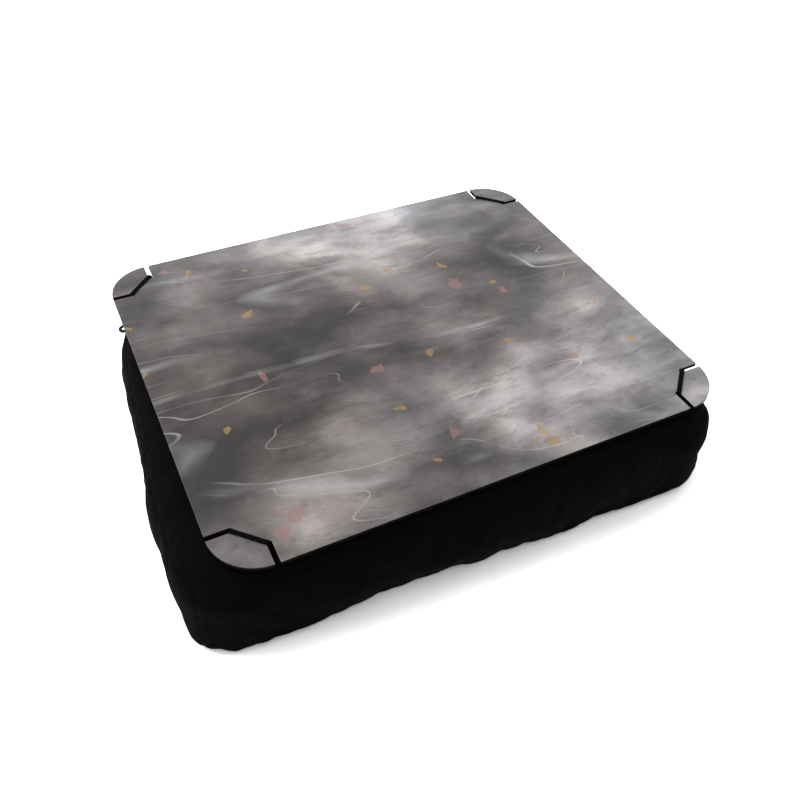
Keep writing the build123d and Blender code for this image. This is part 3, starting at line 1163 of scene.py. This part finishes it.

# %% [markdown]
# ## Elastic straps
#
# Narrow flat elastic is woven over rubber threads, so it has ribs along its length and rounded
# edges. Each strap comes up out of the cover, bends over the board at the inner end of one notch,
# crosses the corner and goes down the next notch. A short run of points and a ribbed cross-section
# swept along it give that. A curve with a bevel could do the same, but a mesh carries the braid's
# flat coordinates.


# %% Elastic material
def elastic_material():
    """Black braided elastic: ribs come from the mesh, the braid's small chevrons from nodes."""
    steps_along, steps_across, lean = 5200.0, 4300.0, 2.4
    material, tree, shader = new_material(
        "strap_elastic", Roughness=0.7, Sheen_Weight=0.008, Specular_IOR_Level=0.03
    )
    axes = put(tree, "ShaderNodeSeparateXYZ", {0: cut_cloth_place(tree)})
    across = math_node(tree, "MULTIPLY", axes.outputs[1], steps_across)
    sway = math_node(tree, "ABSOLUTE", math_node(tree, "SINE", across))
    along = math_node(tree, "MULTIPLY", axes.outputs[0], steps_along)
    leaning = math_node(tree, "ADD", along, math_node(tree, "MULTIPLY", sway, lean))
    chevron = math_node(tree, "SINE", leaning)
    # The chevrons' hollows are painted darker and their raised parts lighter: painted shade and
    # painted light.
    hollow, lit_tops = (0.0010, 0.0011, 0.0016), (0.0034, 0.0036, 0.0052)
    feed(
        shader,
        Base_Color=ramp(tree, chevron, [(0.1, hollow), (0.9, lit_tops)]),
        Normal=bump(tree, chevron, 0.6, 0.00015),
    )
    return material


strap_elastic = elastic_material()
print("elastic:", strap_elastic.name)


# %% Strap sizes
# The notches are 18.5 mm deep and 3.8 mm wide, and a strap lies 0.9 mm short of their round ends.
strap_width = 0.0036
strap_thickness = 0.0010
notch_from_corner, notch_depth, notch_width = 0.0362, 0.0185, 0.0038
strap_from_notch_end = 0.0009
leg_from_edge = notch_depth - notch_width / 2 - strap_from_notch_end
strap_from_corner = (notch_from_corner + leg_from_edge) / math.sqrt(2)
leg_spread = (notch_from_corner - leg_from_edge) / math.sqrt(2)
strap_middle = board_top + 0.0003 + strap_thickness / 2
leg_end = 0.0711
strap_bend = 0.0011
print("strap crosses", round(strap_from_corner * 1000, 1), "mm from the board's corner")


# %% Strap line and section
def strap_path():
    """The strap's line in its own plane, as points and the directions square to it."""
    bend, low = strap_bend, strap_middle - strap_bend
    left = [(-leg_spread, z) for z in np.linspace(leg_end, low, 6)]
    for turn in np.linspace(0, math.pi / 2, 8)[1:]:
        across = -leg_spread + bend * (1 - math.cos(turn))
        left.append((across, strap_middle - bend * (1 - math.sin(turn))))
    over = np.linspace(-leg_spread + bend, leg_spread - bend, 22)[1:-1]
    right = [(-x, z) for x, z in left[::-1]]
    path = np.array(left + [(x, strap_middle) for x in over] + right)
    along = unit(np.gradient(path, axis=0))
    return path, np.column_stack([-along[:, 1], along[:, 0]])


def strap_section():
    """Across the strap: places over its width and half its thickness there, with five ribs."""
    shares = np.linspace(-1, 1, 31)
    edge = np.sqrt(np.clip(1 - np.abs(shares) ** 6, 0, 1))
    ribs = 0.86 + 0.14 * np.cos(shares * 5 * math.pi)
    return shares * strap_width / 2, strap_thickness / 2 * np.clip(edge * ribs, 0.12, 1)


print("points along a strap:", len(strap_path()[0]), "and across it:", len(strap_section()[0]))


# %% Strap pieces
def make_strap(name, side, end):
    """One strap, as a closed ribbed strip over a corner of the board."""
    inward = np.array([-side, -end]) / math.sqrt(2)
    across = np.array([inward[1], -inward[0]])
    corner = np.array([side * half_width, end * half_depth])
    path, square = strap_path()
    places, thick = strap_section()
    order = np.concatenate([np.arange(len(places)), np.arange(len(places))[::-1]])
    sign = np.concatenate([np.ones(len(places)), -np.ones(len(places))])
    points = []
    for (x, z), (square_x, square_z) in zip(path, square):
        for k, s in zip(order, sign):
            flat_xy = corner + inward * (strap_from_corner + places[k])
            flat_xy = flat_xy + across * (x + s * thick[k] * square_x)
            points.append((*flat_xy, z + s * thick[k] * square_z))
    loop = len(order)
    faces = tube_faces(len(path), loop)
    strap = make_piece(name + "_elastic", points, faces, strap_elastic, "cushion")
    arc = np.concatenate([[0], np.cumsum(np.linalg.norm(np.diff(path, axis=0), axis=1))])
    lay_flat(strap, lambda v: (arc[v.index // loop], places[order[v.index % loop]]))
    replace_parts(strap, name)
    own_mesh(strap)
    return strap


straps = [
    make_strap(name, side, end)
    for name, side, end in (
        ("strap_front_left", -1, -1),
        ("strap_front_right", 1, -1),
        ("strap_back_left", -1, 1),
        ("strap_back_right", 1, 1),
    )
]
print("straps:", [len(s.data.polygons) for s in straps])

# %% [markdown]
# ## Zip teeth and tapes
#
# A moulded zip has a row of teeth clamped on the corded edge of each tape. A tooth is a stubby
# neck with a rounded head. One tooth is shaped once and repeated along the row, and the lower row
# is half a step along from the upper one. An Array modifier could repeat it, but plain lists give
# one mesh at once. The tapes are firm woven strips with a thick edge.


# %% Teeth plastic
def plastic_material(name, colour, rough):
    """Moulded black plastic with a faint grain."""
    material, tree, shader = new_material(name, Specular_IOR_Level=0.25)
    place = object_place(tree)
    grain = cloudy(tree, place, 2600.0, 3.0)
    patches = place_group(tree, use_group, {"Vector": place})["Patches"]
    feed(
        shader,
        Base_Color=mix_colour(tree, patches, *shades(colour, 0.7, 1.4)),
        Roughness=fitted(tree, grain, to_low=rough - 0.1, to_high=rough + 0.12),
        Normal=bump(tree, grain, 0.25, 0.00005),
    )
    return material


teeth_plastic = plastic_material("teeth_plastic", (0.007, 0.007, 0.0075), 0.42)
print("plastic:", teeth_plastic.name)


# %% One tooth
def taken_out(shape):
    """The points and faces of a finished bmesh, which is then freed."""
    shape.verts.index_update()
    points = np.array([v.co for v in shape.verts])
    faces = [tuple(v.index for v in f.verts) for f in shape.faces]
    shape.free()
    return points, faces


def tooth_mesh():
    """One tooth from its neck on the tape to its rounded head, as points and faces."""
    half_thick, edge_round = 0.0009, 0.00016
    left_mm = [(-0.62, 2.9), (-0.62, 1.9), (-0.45, 1.35), (-0.72, 0.95), (-0.5, 0.5)]
    right_mm = [(-x, z) for x, z in left_mm[::-1]]
    shape = bmesh.new()
    ring = [shape.verts.new((x / 1000, -half_thick, z / 1000)) for x, z in left_mm + right_mm]
    face = shape.faces.new(ring)
    grown = bmesh.ops.extrude_face_region(shape, geom=[face])
    for part in grown["geom"]:
        if isinstance(part, bmesh.types.BMVert):
            part.co.y += 2 * half_thick
    edges = list(shape.edges)
    bmesh.ops.bevel(shape, geom=edges, offset=edge_round, segments=1, affect="EDGES")
    bmesh.ops.recalc_face_normals(shape, faces=shape.faces)
    return taken_out(shape)


tooth, tooth_faces = tooth_mesh()
print("one tooth:", len(tooth_faces), "faces")


# %% Rows of teeth
row_middle = 0.1684
row_half = 0.171
tooth_step = 0.0024


def tooth_row(name, side, shift):
    """All the teeth of one row as a single piece. Side is 1 for the upper row, -1 for the lower."""
    first = -row_half + tooth_step / 2 + shift
    places = np.arange(first, row_half - tooth_step / 4, tooth_step)
    points, faces = [], []
    for x in places:
        start = len(points)
        points += [(x + p[0], row_middle + p[1], zip_height + side * p[2]) for p in tooth]
        faces += [tuple(start + k for k in f[::side]) for f in tooth_faces]
    print(name, len(places), "teeth")
    return make_piece(name, points, faces, teeth_plastic, "cushion", smooth=False)


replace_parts(tooth_row("zip_teeth_upper", 1, 0.0), "zip_row_upper")
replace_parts(tooth_row("zip_teeth_lower", -1, tooth_step / 2), "zip_row_lower")


# %% Zip tapes
def tape_strip(name, side):
    """One woven tape with a corded edge under the teeth."""
    cord_radius, cord_middle = 0.0005, 0.0029
    outer_edge, half_thick = 0.0085, 0.0003
    ripple, ripple_turns, ripple_from = 0.00008, 900.0, 0.004
    xs = np.linspace(-slot_half, slot_half, 177)
    profile = [(outer_edge, -half_thick)]
    for angle in np.radians(np.arange(-150, 151, 30)):
        across = cord_middle - cord_radius * math.cos(angle)
        profile.append((across, cord_radius * math.sin(angle)))
    profile.append((outer_edge, half_thick))
    points = [
        (x, row_middle + y + wave * (z > ripple_from), zip_height + side * z)
        for x, wave in zip(xs, ripple * np.sin(xs * ripple_turns))
        for z, y in profile
    ]
    faces = [f[::side] for f in tube_faces(len(xs), len(profile))]
    tape = make_piece(name, points, faces, tape_cloth, "cushion")
    lay_flat(tape, lambda vertex: (vertex.co.x, vertex.co.z + 0.5 * vertex.co.y))
    return tape


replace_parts(tape_strip("zip_tape_woven_upper", 1), "zip_tape_upper")
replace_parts(tape_strip("zip_tape_woven_lower", -1), "zip_tape_lower")
print("tapes are", round(2 * slot_half, 3), "m long")

# %% [markdown]
# ## Zip stitching
#
# A row of lockstitch all round the slot holds the tapes behind the folded lips of the cloth. A
# stitch is a short thread that dips into the cloth at both ends, so each one is a small bowed
# capsule. Painted dashes would look flat here. A ray sent at the cover's back wall finds the
# cloth's surface for each end.


# %% Sewing thread
def thread_material():
    """Black sewing thread with a fine twist."""
    twists = 900.0
    material, tree, shader = new_material("sewing_thread", Roughness=0.55, Sheen_Weight=0.1)
    inputs = {"Vector": object_place(tree), "Scale": twists}
    twist = put(tree, "ShaderNodeTexWave", inputs, bands_direction="DIAGONAL").outputs[1]
    # The twist's grooves are painted darker and its ridges lighter: painted shade and painted light
    # on the thread.
    dark, light = (0.010, 0.010, 0.011), (0.026, 0.026, 0.028)
    feed(
        shader,
        Base_Color=ramp(tree, twist, [(0.0, dark), (1.0, light)]),
        Normal=bump(tree, twist, 0.5, 0.0001),
    )
    return material


sewing_thread = thread_material()
print("thread:", sewing_thread.name)

# %% Stitches
thread_radius = 0.00019
stitch_bow, stitch_dip = 0.00022, 0.25


def stitch_row(starts, ends, out):
    """Points and faces of one row of stitches from start to end points on a surface."""
    points, faces = [], []
    rings, sides = 6, 6
    for start, end in zip(starts, ends):
        along = unit(end - start)
        side = np.cross(out, along)
        faces += tube_faces(rings, sides, first=len(points))
        for ring in range(rings):
            share = ring / (rings - 1)
            arch = math.sin(math.pi * share)
            thick = thread_radius * (0.55 + 0.45 * arch)
            middle = start + (end - start) * share + out * stitch_bow * (arch - stitch_dip)
            for s in range(sides):
                angle = 2 * math.pi * s / sides
                points.append(middle + thick * (math.cos(angle) * side + math.sin(angle) * out))
    return points, faces


outwards = np.array([0.0, 1.0, 0.0])
print("faces of one stitch:", len(stitch_row(np.zeros((1, 3)), np.eye(3)[:1], outwards)[1]))

# %% Stitching round the slot
stitch_step = 0.0031
stitch_gap = 0.0026
stitch_share = 0.84
cover_surface = BVHTree.FromObject(cover, bpy.context.evaluated_depsgraph_get())


def on_back_wall(x, z):
    """The place on the cover's back wall at x and z."""
    hit = cover_surface.ray_cast(Vector((x, 0.2, z)), Vector((0, -1, 0)))[0]
    return np.array([x, hit.y, z])


def stitches_between(start, end):
    """Start and end points of the stitches on a straight line of the back wall."""
    start, end = np.array(start), np.array(end)
    count = int(np.linalg.norm(end - start) / stitch_step)
    places = [start + (end - start) * k / count for k in range(count + 1)]
    short = stitch_share * (end - start) / count
    return [(on_back_wall(*p), on_back_wall(*(p + short))) for p in places[:-1]]


seam_x, seam_z = slot_half + stitch_gap, slot_rise + stitch_gap
seam_low, seam_high = zip_height - seam_z, zip_height + seam_z
stitches = []
for side in (-1, 1):
    height = zip_height + side * seam_z
    stitches += stitches_between((-seam_x, height), (seam_x, height))
    stitches += stitches_between((side * seam_x, seam_low), (side * seam_x, seam_high))
starts, ends = zip(*stitches)
thread_points, thread_faces = stitch_row(starts, ends, outwards)
make_piece("zip_stitching", thread_points, thread_faces, sewing_thread, "cushion")
print("stitches:", len(stitches))

# %% [markdown]
# ## Zip metal
#
# Slider, puller and end stops are small die-cast parts with a thin black coating that rubs through
# to bare metal on the high spots. Their solids have the right shapes. Casting leaves no sharp edge,
# though, so each solid is copied and its edges get a tiny bevel that catches the light.


# %% Painted metal
def coated_metal(name, colour, rough):
    """Thin black paint over zinc, with a little orange peel and small rubbed places."""
    material, tree, shader = new_material(name, Specular_IOR_Level=0.2)
    place = object_place(tree)
    patches = place_group(tree, use_group, {"Vector": place, "Patch scale": 260.0})["Patches"]
    peel = cloudy(tree, place, 1300.0, 2.0)
    rubbed = fitted(tree, patches, 0.62, 0.74)
    feed(
        shader,
        Base_Color=mix_colour(tree, rubbed, colour, [5 * c for c in colour]),
        Metallic=math_node(tree, "MULTIPLY", rubbed, 0.7),
        Roughness=fitted(tree, peel, to_low=rough - 0.1, to_high=rough + 0.15),
        Normal=bump(tree, peel, 0.2, 0.00005),
    )
    return material


black_coat = coated_metal("black_coat", (0.0035, 0.0035, 0.004), 0.4)
print("coat:", black_coat.name)


# %% Softened solids
def softened(node, name, body, width):
    """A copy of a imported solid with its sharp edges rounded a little, which takes its place."""
    shape = bmesh.new()
    shape.from_mesh(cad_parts[node].data)
    bmesh.ops.remove_doubles(shape, verts=shape.verts, dist=1e-6)
    flat = math.radians(1)
    bmesh.ops.dissolve_limit(shape, angle_limit=flat, verts=shape.verts, edges=shape.edges)
    closed = [e for e in shape.edges if len(e.link_faces) == 2]
    sharp = [e for e in closed if e.calc_face_angle() > math.radians(40)]
    bmesh.ops.bevel(
        shape, geom=sharp, offset=width, segments=2, profile=0.5, affect="EDGES", clamp_overlap=True
    )
    bmesh.ops.triangulate(shape, faces=shape.faces)
    bmesh.ops.recalc_face_normals(shape, faces=shape.faces)
    points, faces = taken_out(shape)
    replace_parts(make_piece(name, points, faces, black_coat, body, smooth=False), node)
    print(name, len(sharp), "edges rounded,", len(faces), "faces")


softened("zip_slider", "slider_cast", "slider", 0.0002)
softened("zip_puller", "puller_cast", "puller", 0.00022)
softened("zip_end_stops", "end_stops_cast", "cushion", 0.0002)

# %% [markdown]
# ## The board
#
# Hardboard is pressed wood fibre: dark, dense and a little furry along the sawn edge. Its top has
# a smooth printed coat with a smoky stone design: soft clouds of warm and cool grey, a darker
# drift, fine pale veins and a few small warm flecks. Noise gives all of it, from broad shapes down
# to hairlines, because noise has no edge and no repeat, and each layer can be tuned by itself.


# %% Hardboard
def hardboard_material():
    """Dark pressed fibre with small lighter splinters."""
    material, tree, shader = new_material("hardboard", Roughness=0.8, Specular_IOR_Level=0.03)
    inputs = {"Vector": object_place(tree), "Scale": (1, 1, 3.5)}
    pressed = put(tree, "ShaderNodeMapping", inputs).outputs[0]
    fibre = cloudy(tree, pressed, 900.0, 6.0)
    gap, wood, splinter = (0.0015, 0.0013, 0.001), (0.003, 0.0025, 0.002), (0.008, 0.006, 0.005)
    feed(
        shader,
        Base_Color=ramp(tree, fibre, [(0.3, gap), (0.55, wood), (0.75, splinter)]),
        Normal=bump(tree, fibre, 0.5, 0.0002),
    )
    return material


def dress(node, material):
    """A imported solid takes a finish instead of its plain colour."""
    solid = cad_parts[node]
    solid.data.materials.clear()
    solid.data.materials.append(material)


dress("tray_core", hardboard_material())


# %% Bending and stretching the design
def bent_place(tree, place, scale, amount):
    """Coordinates pushed about by a slow noise, so that what is drawn on them meanders."""
    sway = put(tree, "ShaderNodeTexNoise", {"Vector": place, "Scale": scale, "Detail": 3.0})
    inputs = {0: sway.outputs["Color"], 1: (0.5, 0.5, 0.5)}
    centred = put(tree, "ShaderNodeVectorMath", inputs, operation="SUBTRACT").outputs[0]
    inputs = {0: centred, "Scale": amount}
    shift = put(tree, "ShaderNodeVectorMath", inputs, operation="SCALE").outputs[0]
    return put(tree, "ShaderNodeVectorMath", {0: place, 1: shift}, operation="ADD").outputs[0]


def stretched(tree, place, turn, scale):
    """Coordinates turned in the plane of the board and stretched one way."""
    inputs = {"Vector": place, "Rotation": (0, 0, turn), "Scale": scale}
    return put(tree, "ShaderNodeMapping", inputs).outputs[0]


print("helpers:", bent_place.__name__, stretched.__name__)


# %% Clouds, mottle and streaks
def stone_clouds(tree, place):
    """Broad warm and cool grey clouds with one darker drift, as a colour."""
    bent = bent_place(tree, place, 5.0, 0.12)
    greys = ramp(
        tree,
        cloudy(tree, bent, 5.2, 5.0),
        [
            (0.36, (0.014, 0.011, 0.010)),
            (0.43, (0.056, 0.047, 0.044)),
            (0.50, (0.100, 0.091, 0.088)),
            (0.58, (0.160, 0.150, 0.148)),
            (0.68, (0.360, 0.352, 0.364)),
        ],
    )
    cool, warm = (0.46, 0.49, 0.54), (0.54, 0.49, 0.46)
    tint = ramp(tree, cloudy(tree, bent, 11.0, 2.0), [(0.35, cool), (0.65, warm)])
    return mix_colour(tree, 0.6, greys, tint, "OVERLAY")


def stone_mottle(tree, place):
    """Patches of a few centimetres, darker and paler, as a grey for overlaying."""
    bent = bent_place(tree, place, 12.0, 0.05)
    patch = cloudy(tree, stretched(tree, bent, 0.5, (1, 1.8, 1)), 13.0, 6.0)
    return ramp(tree, patch, [(0.38, (0.12, 0.115, 0.11)), (0.62, (0.84, 0.84, 0.85))])


def stone_streaks(tree, place):
    """Fine brushed streaks that run one way and waver, as a grey for overlaying."""
    bent = bent_place(tree, place, 9.0, 0.035)
    broad = cloudy(tree, stretched(tree, bent, 0.55, (26, 150, 1)), 1.0, 5.0)
    fine = cloudy(tree, stretched(tree, bent, 0.48, (160, 900, 1)), 1.0, 4.0)
    both = math_node(tree, "ADD", broad, fine)
    return ramp(tree, both, [(0.65, (0.25, 0.25, 0.25)), (1.15, (0.78, 0.78, 0.78))])


print("layers:", [f.__name__ for f in (stone_clouds, stone_mottle, stone_streaks)])


# %% Veins and flakes
def stone_veins(tree, place, scale, width, turn):
    """A mask of thin flowing lines: the places where a stretched noise is just at its middle."""
    bent = bent_place(tree, place, 3.5, 0.07)
    flow = cloudy(tree, stretched(tree, bent, turn, (scale, 4.5 * scale, 1)), 1.0, 1.0)
    away = math_node(tree, "ABSOLUTE", math_node(tree, "SUBTRACT", flow, 0.5))
    line = fitted(tree, away, width, 0.0)
    part = fitted(tree, cloudy(tree, place, 13.0, 2.0), 0.46, 0.62)
    return math_node(tree, "MULTIPLY", line, part)


def stone_flakes(tree, place, scale, share):
    """A mask of a few angular flakes, like leaf metal pressed into the stone."""
    inputs = {"Vector": bent_place(tree, place, 110.0, 0.006), "Scale": scale}
    cells, edges = (
        put(tree, "ShaderNodeTexVoronoi", inputs, voronoi_dimensions="2D", feature=feature)
        for feature in ("F1", "DISTANCE_TO_EDGE")
    )
    lot = put(tree, "ShaderNodeSeparateColor", {0: cells.outputs["Color"]})
    chosen = math_node(tree, "LESS_THAN", lot.outputs[0], share)
    inside = fitted(tree, edges.outputs["Distance"], 0.14, 0.20)
    return math_node(tree, "MULTIPLY", chosen, inside)


print("layers:", [f.__name__ for f in (stone_veins, stone_flakes)])

# %% Printed coat
amber, pink, vein_white = (0.34, 0.21, 0.06), (0.30, 0.15, 0.14), (0.60, 0.59, 0.60)
# Each set of veins: scale, width, direction in the board's plane, and how strongly it shows.
vein_sets = ((2.2, 0.026, 0.45, 0.35), (2.6, 0.0035, 0.6, 0.6), (5.5, 0.003, 0.35, 0.5))
# Each set of flakes: colour, turn of the pattern, scale, share that are there, and strength.
flake_sets = ((amber, 0.0, 105.0, 0.016, 0.65), (pink, 1.1, 80.0, 0.008, 0.55))


def print_material():
    """A satin printed coat with a generic smoky stone design."""
    material, tree, shader = new_material("printed_coat", Coat_Weight=0.2, Coat_Roughness=0.18)
    place = object_place(tree)
    tone = stone_clouds(tree, place)
    tone = mix_colour(tree, 0.65, tone, stone_mottle(tree, place), "OVERLAY")
    tone = mix_colour(tree, 0.5, tone, stone_streaks(tree, place), "OVERLAY")
    for colour, turn, scale, share, strength in flake_sets:
        turned = stretched(tree, place, turn, (1, 1, 1))
        flakes = math_node(tree, "MULTIPLY", stone_flakes(tree, turned, scale, share), strength)
        tone = mix_colour(tree, flakes, tone, colour)
    for scale, width, turn, share in vein_sets:
        veins = math_node(tree, "MULTIPLY", stone_veins(tree, place, scale, width, turn), share)
        tone = mix_colour(tree, veins, tone, vein_white)
    patches = place_group(tree, use_group, {"Vector": place, "Patch scale": 16.0})["Patches"]
    feed(
        shader,
        Base_Color=tone,
        Roughness=fitted(tree, patches, 0.3, 0.7, 0.26, 0.38),
        Normal=bump(tree, cloudy(tree, place, 700.0, 2.0), 0.08, 0.00003),
    )
    return material


dress("print_face", print_material())

# %% [markdown]
# ## Floor, light and background
#
# A studio sweep is a pale floor with large soft lamps. The key lamp stands behind and to the left,
# so the front wall of the cushion is in its own shade and a soft shadow falls to the front right.
# Three weaker lamps at the left, the right and the back show the other walls, and the room glows
# more from overhead than from the horizon. A photograph of black things on white is exposed until
# the floor burns out, so the camera and mirror reflections see a brighter white floor than the one
# that lights the object. It still takes the shadow, and the object gets no more light from it.


# %% Floor
floor_half = 4
lighting_white, seen_white = (0.82, 0.82, 0.82, 1), (2.3, 2.3, 2.3, 1)


def floor_material():
    """White floor that shows the shadow and is otherwise clean white to the camera."""
    material = bpy.data.materials.new("studio_floor")
    material.use_nodes = True
    tree = material.node_tree
    tree.nodes.clear()
    ray = put(tree, "ShaderNodeLightPath").outputs
    mirrored = math_node(tree, "MAXIMUM", ray["Is Glossy Ray"], ray["Is Transmission Ray"])
    seen = math_node(tree, "MAXIMUM", ray["Is Camera Ray"], mirrored)
    matte, bright = (
        put(tree, "ShaderNodeBsdfDiffuse", {"Color": colour}).outputs[0]
        for colour in (lighting_white, seen_white)
    )
    both = put(tree, "ShaderNodeMixShader", {0: seen, 1: matte, 2: bright})
    put(tree, "ShaderNodeOutputMaterial", {"Surface": both.outputs[0]})
    return material


floor_mesh = bpy.data.meshes.new("floor")
signs = ((-1, -1), (1, -1), (1, 1), (-1, 1))
floor_corners = [(floor_half * x, floor_half * y, 0) for x, y in signs]
floor_mesh.from_pydata(floor_corners, [], [(0, 1, 2, 3)])
floor_mesh.materials.append(floor_material())
floor = bpy.data.objects.new("floor", floor_mesh)
bpy.context.scene.collection.objects.link(floor)
print("floor reaches", [round(d, 1) for d in floor.dimensions[:2]])

# %% World
horizon_glow, overhead_glow = 0.15, 0.75
world = bpy.data.worlds.new("studio")
world.use_nodes = True
tree = world.node_tree
tree.nodes.clear()
seen = put(tree, "ShaderNodeLightPath").outputs["Is Camera Ray"]
direction = put(tree, "ShaderNodeTexCoord").outputs["Generated"]
height = put(tree, "ShaderNodeSeparateXYZ", {0: direction}).outputs[2]
glow = fitted(tree, height, to_low=horizon_glow, to_high=overhead_glow)
room, backdrop = (
    put(tree, "ShaderNodeBackground", {"Color": (1, 1, 1, 1), "Strength": strength}).outputs[0]
    for strength in (glow, 1.0)
)
shown = put(tree, "ShaderNodeMixShader", {0: seen, 1: room, 2: backdrop})
put(tree, "ShaderNodeOutputWorld", {"Surface": shown.outputs[0]})
bpy.context.scene.world = world
print("room glows from", horizon_glow, "at the horizon to", overhead_glow, "overhead")


# %% Lamps
def soft_lamp(name, place, aim_at, size, power):
    """A square area lamp turned towards a point."""
    data = bpy.data.lights.new(name, "AREA")
    data.size = size
    data.energy = power
    lamp = bpy.data.objects.new(name, data)
    bpy.context.scene.collection.objects.link(lamp)
    lamp.location = place
    lamp.rotation_euler = (Vector(aim_at) - Vector(place)).to_track_quat("-Z", "Y").to_euler()
    return lamp


soft_lamp("key", (-0.9, 0.8, 1.7), (0, 0, 0.05), 1.4, 25)
soft_lamp("side", (-1.6, 0.7, 0.8), (0, 0, 0.04), 1.6, 9)
soft_lamp("right", (1.5, 0.7, 0.6), (0, 0, 0.04), 1.4, 8)
soft_lamp("back", (0.4, 1.7, 0.5), (0, 0, 0.04), 1.2, 6)

# %% View settings
bpy.context.scene.view_settings.view_transform = "Standard"
